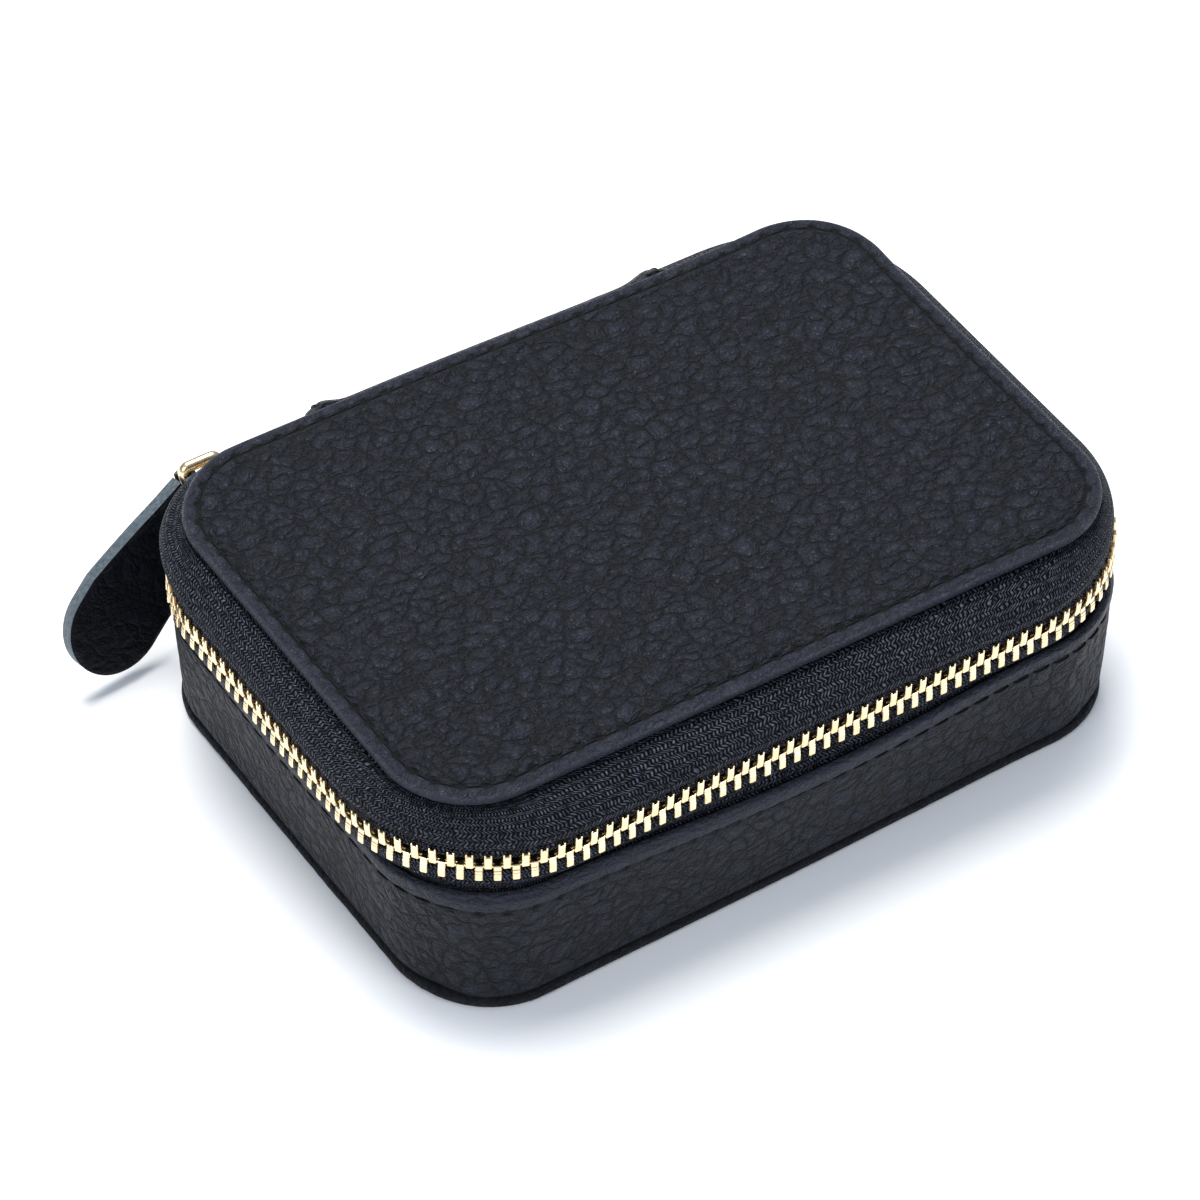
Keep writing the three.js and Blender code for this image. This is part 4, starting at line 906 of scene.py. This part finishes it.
total = chain_at(0)[2]
n_up = int(total / PITCH)
first = (total - n_up * PITCH) / 2 + 0.4
mid_k = n_up // 2
o = teeth_row("upper_teeth_left", 1, first, first + mid_k * PITCH - 0.01, 0, rep=["upper_teeth", "closed_end_teeth_left"])
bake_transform(o)
o = teeth_row("upper_teeth_right", 1, first + (mid_k) * PITCH, total - 0.5, 0, rep=["upper_teeth", "closed_end_teeth_right"])
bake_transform(o)
teeth_row("lower_teeth_row", -1, first + PITCH / 2, total - 0.5, 1, rep=["lower_teeth"], body="case")

for side, x in (("left", -33.9), ("right", 33.9)):
    a = cham_box(x - 0.7, x + 0.7, CHAIN["b"] + 0.75, CHAIN["b"] + 1.45, CHAIN_Z - 2.9, CHAIN_Z + 2.9, 0.25, 2)
    b = cham_box(x - 0.7, x + 0.7, CHAIN["b"] - 1.45, CHAIN["b"] - 0.75, CHAIN_Z - 2.9, CHAIN_Z + 2.9, 0.25, 2)
    c = cham_box(x - 0.62, x + 0.62, CHAIN["b"] - 1.0, CHAIN["b"] + 1.0, CHAIN_Z - 0.8, CHAIN_Z + 0.8, 0.2, 2)
    V, F = join([a, b, c])
    build("zip_clip_" + side, V, F, [GOLD], "case", ["zip_stop_" + side], "gold_metal", sharp=40)


# ---------------------------------------------------------------------- spine
sp_y = np.array([46.35, 46.55, 46.6, 46.6, 46.62, 46.7, 46.5, 45.75, 44.65, 43.4, 42.2, 41.2, 40.45])
sp_z = np.array([13.0, 14.5, 18.0, 24.0, 28.6, 31.4, 32.3, 33.5, 34.8, 36.1, 37.3, 38.1, 38.45])
L = np.concatenate([[0], np.cumsum(np.hypot(np.diff(sp_y), np.diff(sp_z)))])
q = np.linspace(0, L[-1], 66)
cy, cz = pchip(L, sp_y, q), pchip(L, sp_z, q)
ty, tz2 = np.gradient(cy), np.gradient(cz); tl = np.hypot(ty, tz2); ny, nz = tz2 / tl, -ty / tl
xs = np.linspace(-31.5, 31.5, 132)
X, Q = np.meshgrid(xs, q, indexing="xy")
h, c = grain(X.ravel(), Q.ravel(), 61, 3.0)
h, c = h.reshape(X.shape), c.reshape(X.shape)
ex = 31.5 - np.abs(X)
eq = np.minimum(Q, L[-1] - Q)
m = sstep(1.8, 3.4, ex) * sstep(1.4, 3.0, eq)
lump = 0.85 * np.exp(-((np.abs(X) - 28.4) / 2.2) ** 2) * sstep(L[-1] - 7, L[-1] - 3.5, Q)
out = h * 0.35 * m + lump - 0.20 * np.exp(-((ex - 1.9) / 0.4) ** 2) - 0.12 * np.exp(-((Q - 19.9) / 0.6) ** 2) - 0.10 * np.exp(-((Q - 21.6) / 0.6) ** 2)
rnd_edge = 0.45 * (1 - sstep(0, 0.6, ex))
outer = np.stack([X, cy[:, None] + ny[:, None] * (out - rnd_edge), cz[:, None] + nz[:, None] * (out - rnd_edge)], 2)
inner = np.stack([X, cy[:, None] - ny[:, None] * (1.25 - rnd_edge), cz[:, None] - nz[:, None] * (1.25 - rnd_edge)], 2)
rows = np.concatenate([outer, inner[::-1]])
v, f, _ = loft(rows, False, True, True)
v[:, 1] += 1.25 * (1 - sstep(-24.0, 34.0, v[:, 0])) * sstep(34.5, 38.0, v[:, 2])
# the stitch grooves go into "crease", painted dark as shade
cc = np.concatenate([(0.7 * np.exp(-((ex - 1.9) / 0.3) ** 2)), np.zeros(X.shape)]).ravel()
ee = np.concatenate([0.5 * (1 - sstep(0.2, 0.9, ex)), np.zeros(X.shape)]).ravel()
fv, ff = cham_box(-31.2, 31.2, 36.3, 41.5, 36.82, 37.42, 0.1)
fv = np.array(fv, float); fv[:, 1] += np.where(fv[:, 1] > 40, 1.25 * (1 - sstep(-24.0, 34.0, fv[:, 0])) * 0.8, 0)
v, f = join([(v, f), (fv, ff)])
cc = np.concatenate([cc, np.zeros(len(fv))]); ee = np.concatenate([ee, np.zeros(len(fv))])
o = build("spine_leather", v, f, [LEATHER], None, ["spine_lower", "spine_upper"], "leather", {"crease": cc, "edge": ee})
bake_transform(o)
for nm, q0, q1, bodyname in (("spine_stitches_lower", 1.8, 17.2, "case"), ("spine_stitches_upper", 22.6, L[-1] - 1.2, "lid")):
    pts, tans, nors = [], [], []
    k = max(2, int((q1 - q0) / 3.6))
    for x in (-29.6, 29.6):
        for i in range(k):
            s = q0 + (i + 0.5) * (q1 - q0) / k
            yy, zz = np.interp(s, q, cy), np.interp(s, q, cz)
            ly = 0.85 * math.exp(-((29.6 - 28.4) / 2.2) ** 2) * float(sstep(L[-1] - 7, L[-1] - 3.5, s)) - 0.2
            n_ = np.array([0, np.interp(s, q, ny), np.interp(s, q, nz)])
            pts.append(np.array([x, yy, zz]) + n_ * ly)
            tans.append(np.array([0, np.interp(s, q, ty / tl), np.interp(s, q, tz2 / tl)])); nors.append(n_)
    Vs, Fs = stitch_mesh(pts, tans, nors, 2.9, 0.22)
    Vs[:, 1] += 1.25 * (1 - sstep(-24.0, 34.0, Vs[:, 0])) * sstep(34.5, 38.0, Vs[:, 2])
    build(nm, Vs, Fs, [THREAD], bodyname, slot="leather")


# ------------------------------------------------------------------ the slider
def bent(V, R0):
    """V: (degrees round the corner, distance out from R0, height) -> place"""
    a = math.pi - np.radians(V[:, 0])
    R = R0 + V[:, 1]
    return np.column_stack([SC[0] + np.cos(a) * R, SC[1] + np.sin(a) * R, V[:, 2]])


def slider_plate(R0, R1, face):
    """a shield-shaped plate: narrow at the tail, wide at the mouth, edges rolled towards the chain"""
    A0, A1 = 63.8, 88.4
    n, m = 40, 28
    t = np.linspace(0, 1, n)
    hh = 2.70 + 0.48 * sstep(0.35, 0.85, t)
    end = np.minimum(t, 1 - t) * 11.0
    hh = hh - np.where(end < 1.6, 1.6 - np.sqrt(np.clip(1.6 ** 2 - (1.6 - end) ** 2, 0, None)), 0) * 1.0
    rows_o, rows_i = [], []
    w = np.linspace(-1, 1, m)
    bul = 0.22 * (1 - w ** 2)
    ang = A0 + (A1 - A0) * t
    top, bot = [], []
    for j in range(m):
        z = CHAIN_Z - 0.2 + hh * w[j]
        e_end = 0.3 * np.exp(-(end / 0.4) ** 2)
        round_e = 0.35 * max(0, (abs(w[j]) - 0.86) / 0.14) ** 2
        o_ = R1 + face * (bul[j] - round_e - e_end)
        i_ = R0 - face * (0.0 if abs(w[j]) < 0.84 else 0.95 * min(1, (abs(w[j]) - 0.84) / 0.06))
        top.append(np.column_stack([ang, o_ * np.ones(n), z])); bot.append(np.column_stack([ang, i_ * np.ones(n), z]))
    rows = np.concatenate([top, bot[::-1]])
    v, f, _ = loft(rows, False, True, True)
    return bent(v, 0), f


parts = [slider_plate(25.85, 26.65, 1)]
# crown: an arched strap, both feet on the plate, the link's bar under it
A = np.radians(np.linspace(0, 180, 26))
ca, rise = 82.9, 3.35
path_a = ca - np.cos(A) * 5.0 * (1 - 0.12 * np.sin(A))
path_r = 26.5 + rise * np.sin(A) ** 0.75
Pm = bent(np.column_stack([path_a, path_r, np.full(26, CHAIN_Z - 0.3)]), 0)
Tm = np.gradient(Pm, axis=0); Tm /= np.linalg.norm(Tm, axis=1)[:, None]
Nm = np.cross(Tm, [0, 0, 1.0])
sec = []
for a in np.linspace(0, 2 * math.pi, 16, endpoint=False):
    cx_, sx_ = math.cos(a), math.sin(a)
    sec.append((math.copysign(abs(cx_) ** 0.55, cx_) * 0.36, math.copysign(abs(sx_) ** 0.55, sx_) * 0.98))
rows = [[Pm[i] + Nm[i] * s_[0] + np.array([0, 0, s_[1]]) for i in range(26)] for s_ in sec]
v, f, _ = loft(rows, False, True, True)
parts.append((v, f))
# the wedge between the plates, at the mouth
wv, wf = cham_box(86.0, 88.0, 22.1, 26.2, CHAIN_Z - 0.55, CHAIN_Z + 0.55, 0.2, 2)
parts.append((bent(wv, 0), wf))
V, F = join(parts)
build("slider_body", V, F, [GOLD], "slider", ["slider_outer"], "gold_metal", sharp=42)
V, F = slider_plate(22.55, 21.75, -1)
build("slider_back_plate", V, F, [GOLD], "slider", ["slider_inner"], "gold_metal", sharp=42)

LINKD = np.array([-0.97, 0.2, -0.1]); LINKD -= BAR * (LINKD @ BAR); LINKD /= np.linalg.norm(LINKD)
OUTN = np.cross(BAR, LINKD)
hl, hw, rr = 2.7, 2.35, 0.9
loop = []
for cxx, cyy, a0 in ((hl - rr, hw - rr, 0), (-hl + rr, hw - rr, 90), (-hl + rr, -hw + rr, 180), (hl - rr, -hw + rr, 270)):
    for i in range(9):
        a = math.radians(a0 + 90 * i / 8); loop.append((cxx + rr * math.cos(a), cyy + rr * math.sin(a)))
    nx = {0: (-1, 0), 90: (0, -1), 180: (1, 0), 270: (0, 1)}[a0]
    span = 2 * (hl - rr) if a0 in (0, 180) else 2 * (hw - rr)
    for i in range(1, 6): loop.append((loop[-1][0] + nx[0] * span / 6, loop[-1][1] + nx[1] * span / 6))
loop = np.array(loop)
Pl = P1 + np.outer(hl + loop[:, 0], LINKD) + np.outer(loop[:, 1], BAR)
V, F = tube(Pl, 0.92, 16, closed=True, up=OUTN)
build("puller_wire", V, F, [GOLD], "link", ["puller_link"], "gold_metal")


# -------------------------------------------------------------------- pull tab
bar2 = BAR - TN * (BAR @ TN); bar2 /= np.linalg.norm(bar2)
L_TAB, HW, V0, U0, TT = 31.4, 8.25, 2.65, 0.4, 2.4
b_l = np.array([bar2 @ TL, bar2 @ TW])
nd = np.array([b_l[1], -b_l[0]]) * (1 if b_l[1] > 0 else -1)
sg = 1 if b_l[1] > 0 else -1
def on_plane(u, v): return nd * u + b_l * v
A_, B_ = on_plane(1.3, -1.0 * sg), on_plane(1.3, 3.0 * sg)
def quad(p, c, e, n):
    t = np.linspace(0, 1, n)[:, None]
    return (1 - t) ** 2 * np.array(p) + 2 * t * (1 - t) * np.array(c) + t * t * np.array(e)
n1 = 24
arc_t = np.linspace(0, math.pi / 2, 22)[1:]
low_side = np.vstack([quad(A_, (U0 + 10.0, V0 - 6.4), (U0 + 19.0, V0 - HW), n1),
                      np.column_stack([np.linspace(U0 + 19.0, U0 + L_TAB - HW, 18)[1:], np.full(17, V0 - HW)]),
                      np.array([[U0 + L_TAB - HW + HW * math.sin(a), V0 - HW * math.cos(a)] for a in arc_t])])
up_side = np.vstack([quad(B_, (U0 + 8.5, V0 + 7.4), (U0 + 16.0, V0 + HW), n1),
                     np.column_stack([np.linspace(U0 + 16.0, U0 + L_TAB - HW, 18)[1:], np.full(17, V0 + HW)]),
                     np.array([[U0 + L_TAB - HW + HW * math.sin(a), V0 + HW * math.cos(a)] for a in arc_t])])
cols = 34
ns_ = len(low_side)
wv_ = np.linspace(0, 1, cols)
W_ = np.concatenate([[0, 0.015, 0.045], np.linspace(0.09, 0.91, cols - 6), [0.955, 0.985, 1]])
def tab_place(u, v, h):
    bow = 0.5 * np.sin(np.clip(u / 33.0, 0, 1) * math.pi) - 0.15
    bow = bow * sstep(2, 10, u)
    return P2 + np.outer(u, TL) + np.outer(v, TW) + np.outer(h - bow, TN)
front, back, fc, dist = [], [], [], []
UVp = low_side[:, None] + (up_side - low_side)[:, None] * W_[None, :, None]
u_, v_ = UVp[..., 0].ravel(), UVp[..., 1].ravel()
width = np.linalg.norm(up_side - low_side, axis=1)
de = np.minimum(W_, 1 - W_)[None] * width[:, None]
tip = (U0 + L_TAB) - UVp[..., 0]
rad = np.hypot(UVp[..., 0] - (U0 + L_TAB - HW), UVp[..., 1] - V0)
de = np.where(UVp[..., 0] > U0 + L_TAB - HW, np.minimum(de, HW - rad), de)
de = np.clip(de, 0, None).ravel()
h1, c1 = grain(u_, v_, 81, 3.4)
mk = sstep(0.6, 1.8, de)
rd = 0.38 * (1 - sstep(0.0, 0.7, de))
hf = TT / 2 - rd + h1 * mk * 0.35
hb = -TT / 2 - 0.35 + rd * 0.4
Fr = tab_place(u_, v_, hf).reshape(ns_, cols, 3)
Bk = tab_place(u_, v_, np.full(len(u_), 1.0) * hb).reshape(ns_, cols, 3)
loops = np.concatenate([Fr, Bk[:, ::-1]], 1)          # stations x around
mid1 = (Fr[:, -1] + Bk[:, -1]) / 2; mid0 = (Fr[:, 0] + Bk[:, 0]) / 2
outd = (Fr[:, -1] - Fr[:, 0]); outd /= np.maximum(np.linalg.norm(outd, axis=1), 1e-6)[:, None]
loops = np.concatenate([Fr, (mid1 + outd * 0.08)[:, None], Bk[:, ::-1], (mid0 - outd * 0.08)[:, None]], 1)
rows = loops.transpose(1, 0, 2)
v, f, _ = loft(rows, False, True, True)
cr_full = np.zeros((len(rows), ns_)); cr_full[:cols] = 0.0
side_band = set(range(cols - 1, cols + 2)) | {2 * cols, 2 * cols + 1}
ids = []
for fa in f:
    j = sorted({int(i) // ns_ for i in fa})
    if len(fa) > 4: ids.append(1); continue
    ids.append(1 if (j[0] in (cols - 1, cols, 2 * cols, 2 * cols + 1) or (j[0] == 0 and j[-1] == 2 * cols + 1)) else (0 if j[-1] < cols else 2))
eye = []
ths = np.radians(np.linspace(-35, 215, 26))
nd3 = TL * nd[0] + TW * nd[1]
third = TN
ring_pts = [(1.12, ths), (1.75, ths[::-1])]
sec_pts = []
for r_, tt_ in ring_pts:
    for a in tt_: sec_pts.append(-nd3 * math.sin(a) * r_ + third * math.cos(a) * r_ + P2)
sec_pts = np.array(sec_pts)
eh = 1.35
rows_e = [[p + bar2 * x for x in (-eh, -eh + 0.15, 0, eh - 0.15, eh)] for p in sec_pts]
ve, fe, _ = loft(rows_e, False, True, True)
all_v, all_f = join([(v, f), (ve, fe)])
ids += [2] * (len(fe) - 2) + [1, 1]
crv = np.concatenate([cr_full.ravel(), np.zeros(len(ve))])
build("pull_tab_leather", all_v, all_f, [TAB_FACE_SHADED, SUEDE, LEATHER], "tab", ["pull_tab"], "leather", {"crease": crv, "edge": np.zeros(len(all_v))}, mat_ids=ids, sharp=50)


# -------------------------------------------------------------------- interior
D_BOARD = LEATHER_T + GAP + TAPE_T + GAP + 0.1
D_IN = D_BOARD + 1.8 + GAP
rows = []
S2, C2 = (60, 100, 60, 100), 36
def wl(z, d):
    a, _ = ring(FOOT, d, S2, C2, 0.4); b, _ = ring(RIM, d, S2, C2, 0.4)
    P = a + (b - a) * min(z, RIM_Z) / RIM_Z
    return np.column_stack([P, np.full(len(P), z)])
prof = [(4.1, D_IN), (23.3, D_IN), (23.3, D_BOARD + 0.05), (23.55, D_BOARD - 0.15), (23.95, D_BOARD + 0.1), (24.2, D_BOARD + 0.7), (24.28, D_BOARD + 1.5), (24.15, D_IN + 0.35), (23.8, D_IN + 0.75), (23.2, D_IN + 0.82)]
prof += [(z, D_IN + 0.8) for z in np.arange(22.4, 4.6, -1.0)] + [(4.1, D_IN + 0.8)]
for j, (z, d) in enumerate(prof):
    r_ = wl(z, d)
    if j > 5:
        u = arclen(r_[:, :2], True)[:-1]
        wv2 = 0.10 * (lattice(u / 6, np.full(len(u), z / 6), 12) - 0.5)
        r_[:, :2] -= r_[:, :2] / np.linalg.norm(r_[:, :2], axis=1)[:, None] * wv2[:, None]
    rows.append(r_)
v, f, _ = loft(rows, True, True)
build("lining_wall", v, f, [VELVET], "case", ["base_lining_wall"], "velvet")


def pad(name, s, d0, z0, z1, rd, puff, body, rep, mat, slot, seed, down=False, step=1.6):
    """a lining pad with a soft edge; down: its soft face looks down"""
    t = dict(a=s["a"] - d0, b=s["b"] - d0, R=s["R"] - d0, k=s.get("k", (0, 0, 0, 0)))
    sgn = -1 if down else 1
    top = z0 if down else z1
    base = z1 if down else z0
    def zf(x, y, d):
        e = rd * (1 - np.sqrt(np.clip(1 - (1 - np.clip(d, 0, rd * 1.6) / (rd * 1.6)) ** 2, 0, 1)))
        return top - sgn * e + sgn * puff * (sstep(0, 9, d) * 0.6 + 0.5 * (lattice(x / 8, y / 8, seed) - 0.5)) - sgn * puff * 0.6
    lev = np.concatenate([[0, rd * 0.2, rd * 0.5, rd, rd * 1.6], np.arange(rd * 1.6 + step, t["R"] - 0.3, step)])
    sx, sy, cn = int(2 * (t["a"] - t["R"]) / step), int(2 * (t["b"] - t["R"]) / step), 22
    V, F, D, n = pad_surface(t, lev, sx, sy, cn, zf, [(1.5, base), (0.0, base)])
    F.append(list(range(n))[::-1])
    o = build(name, V, F, [mat], body, rep, slot)
    return o


fd = D_IN + 0.8 + GAP
o = pad("floor_pad", FOOT, fd, 4.0, 5.3, 0.5, 0.15, "case", ["base_lining_floor"], VELVET, "velvet", 21)
pad("lid_lining_cloth", PANEL, 3.6, 34.7, 35.6, 0.3, 0.12, "lid", ["lid_lining"], VELVET, "velvet", 22, down=True)

for nm in ("partition_long", "partition_cross", "partition_short", "ring_tray"):
    lo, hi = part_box(nm)
    V, F = soft_box(lo.x / MM, hi.x / MM, lo.y / MM, hi.y / MM, lo.z / MM, hi.z / MM, 0.55 if nm != "ring_tray" else 0.4, 1.5, 0.14, 7)
    build(nm + "_cloth", V, F, [VELVET], "case", [nm], "velvet")

for i in range(1, 5):
    lo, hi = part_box(f"ring_roll_{i}")
    cx_, cz_ = (lo.x + hi.x) / 2 / MM, (lo.z + hi.z) / 2 / MM
    y0_, y1_ = lo.y / MM, hi.y / MM
    R_ = (hi.x - lo.x) / 2 / MM
    ys = np.linspace(y0_, y1_, 84)
    e = np.minimum(ys - y0_, y1_ - ys)
    prof_r = R_ * np.where(e < 4.2, np.sqrt(np.clip(1 - (1 - e / 4.2) ** 2, 0.0, 1)) ** 0.9, 1.0)
    prof_r = np.maximum(prof_r, 0.25)
    th = np.linspace(0, 2 * math.pi, 40, endpoint=False)
    rows = []
    for a in th:
        u = a / (2 * math.pi) * 8
        wob = 1 - 0.030 * lattice(ys / 6, np.full(len(ys), u), 40 + i, 0) - 0.02 * np.exp(-((a - math.pi / 2 + 0.0) / 0.1) ** 2) * 0
        gather = 1 - 0.05 * (np.sin(a * 9 + i) * 0.5 + 0.5) * np.exp(-e / 2.4)
        flat = 1 - 0.06 * np.clip(-math.sin(a), 0, 1) ** 2
        rr_ = prof_r * wob * gather * flat
        rows.append(np.column_stack([cx_ + rr_ * math.cos(a), ys, cz_ + rr_ * math.sin(a)]))
    v, f, _ = loft(np.array(rows), False, True, True)
    o = build(f"ring_roll_{i}_cushion", v, f, [ROLLV], "case", [f"ring_roll_{i}"], "roll")

# lid pocket: gathered cloth under an elastic mouth
PK = dict(x=46.0, y0=-33.5, y1=2.0)
nx_, ny_ = 200, 46
gx = np.linspace(-1, 1, nx_); gy = np.linspace(0, 1, ny_)
GX, GY = np.meshgrid(gx, gy, indexing="ij")
half_w = PK["x"] - 6.0 * np.clip(1 - GY / 0.22, 0, 1) ** 2
yy = PK["y0"] + (PK["y1"] - PK["y0"]) * GY + 1.2 * (np.abs(GX) ** 6) * (1 - GY)
xx = GX * half_w
amp = 0.55 * sstep(0.1, 1.0, GY) * (1 - np.abs(GX) ** 8)
fold = np.sin(GX * 58 + 1.5 * lattice(GX * 6, GY * 2, 90)) * amp
belly = 0.5 * np.sin(GY * math.pi) * (1 - GX ** 4)
zz = 34.0 - 0.55 - belly + fold * 0.75
top_ = np.stack([xx, yy, zz], 2)
bot_ = np.stack([xx, yy, zz + 0.45], 2)
rows = np.concatenate([top_.transpose(1, 0, 2), bot_.transpose(1, 0, 2)[::-1]])
v, f, _ = loft(rows, False, True, True)
pocket = build("lid_pocket_cloth", v, f, [VELVET], "lid", ["lid_pocket"], "velvet")

n_e = 260
xe = np.linspace(-PK["x"], PK["x"], n_e)
e = PK["x"] - np.abs(xe)
re = (1.12 + 0.20 * np.sin(xe * 3.9 + 1.2 * lattice(xe / 3, xe * 0, 91))) * np.sqrt(np.clip(1 - (1 - np.clip(e, 0, 1.3) / 1.3) ** 2, 0.02, 1))
V, F = tube(np.column_stack([xe, np.full(n_e, PK["y1"] + 1.8), np.full(n_e, 33.1)]), re, 14)
build("pocket_elastic_band", V, F, [ELASTIC], "lid", ["pocket_elastic"], "elastic")

for i, x in enumerate((-30, 0, 30), 1):
    V, F = soft_box(x - 4, x + 4, 11, 29, 33.2, 34.4, 0.4, 0.9, 0.05, 50 + i)
    h, c = grain(V[:, 0], V[:, 1], 90 + i, 2.8)
    low = V[:, 2] < 33.5
    V[:, 2] -= np.where(low, h * 0.4, 0)
    # the grain's creases on the lower face go into "crease", painted dark as shade
    build(f"strap_{i}", V, F, [LEATHER], "lid", [f"necklace_strap_{i}"], "leather", {"crease": np.where(low, c, 0), "edge": np.zeros(len(V))})
    pts = [np.array([x + sx_ * 3.0, y, 33.22]) for sx_ in (-1, 1) for y in np.arange(13.0, 28.0, 2.6)]
    Vs, Fs = stitch_mesh(pts, [np.array([0, 1.0, 0])] * len(pts), [np.array([0, 0, -1.0])] * len(pts), 2.1, 0.17, 0.12, 0.3)
    build(f"strap_{i}_stitches", Vs, Fs, [THREAD], "lid", slot="leather")
    prof_c = [(0.0, -0.50), (1.0, -0.47), (1.7, -0.36), (2.05, -0.18), (2.12, -0.02), (2.3, 0.02), (2.62, -0.06), (2.85, 0.08), (2.9, 0.3), (2.75, 0.42), (0.0, 0.42)]
    th = np.linspace(0, 2 * math.pi, 40, endpoint=False)
    rows = [np.column_stack([x + max(r_, 0.02) * np.cos(th), 15.5 + max(r_, 0.02) * np.sin(th), np.full(40, 32.5 + z_)]) for r_, z_ in prof_c]
    v, f, _ = loft(rows, True, False)
    f.append(list(range(40))); f.append([(len(prof_c) - 1) * 40 + j for j in range(40)])
    build(f"snap_{i}", v, f, [GOLD], "lid", [f"snap_cap_{i}"], "gold_metal", sharp=50)

for nm in ("lid_board", "base_floor_board", "base_wall_board"):
    NODES[nm].data.materials.clear(); NODES[nm].data.materials.append(BOARD)
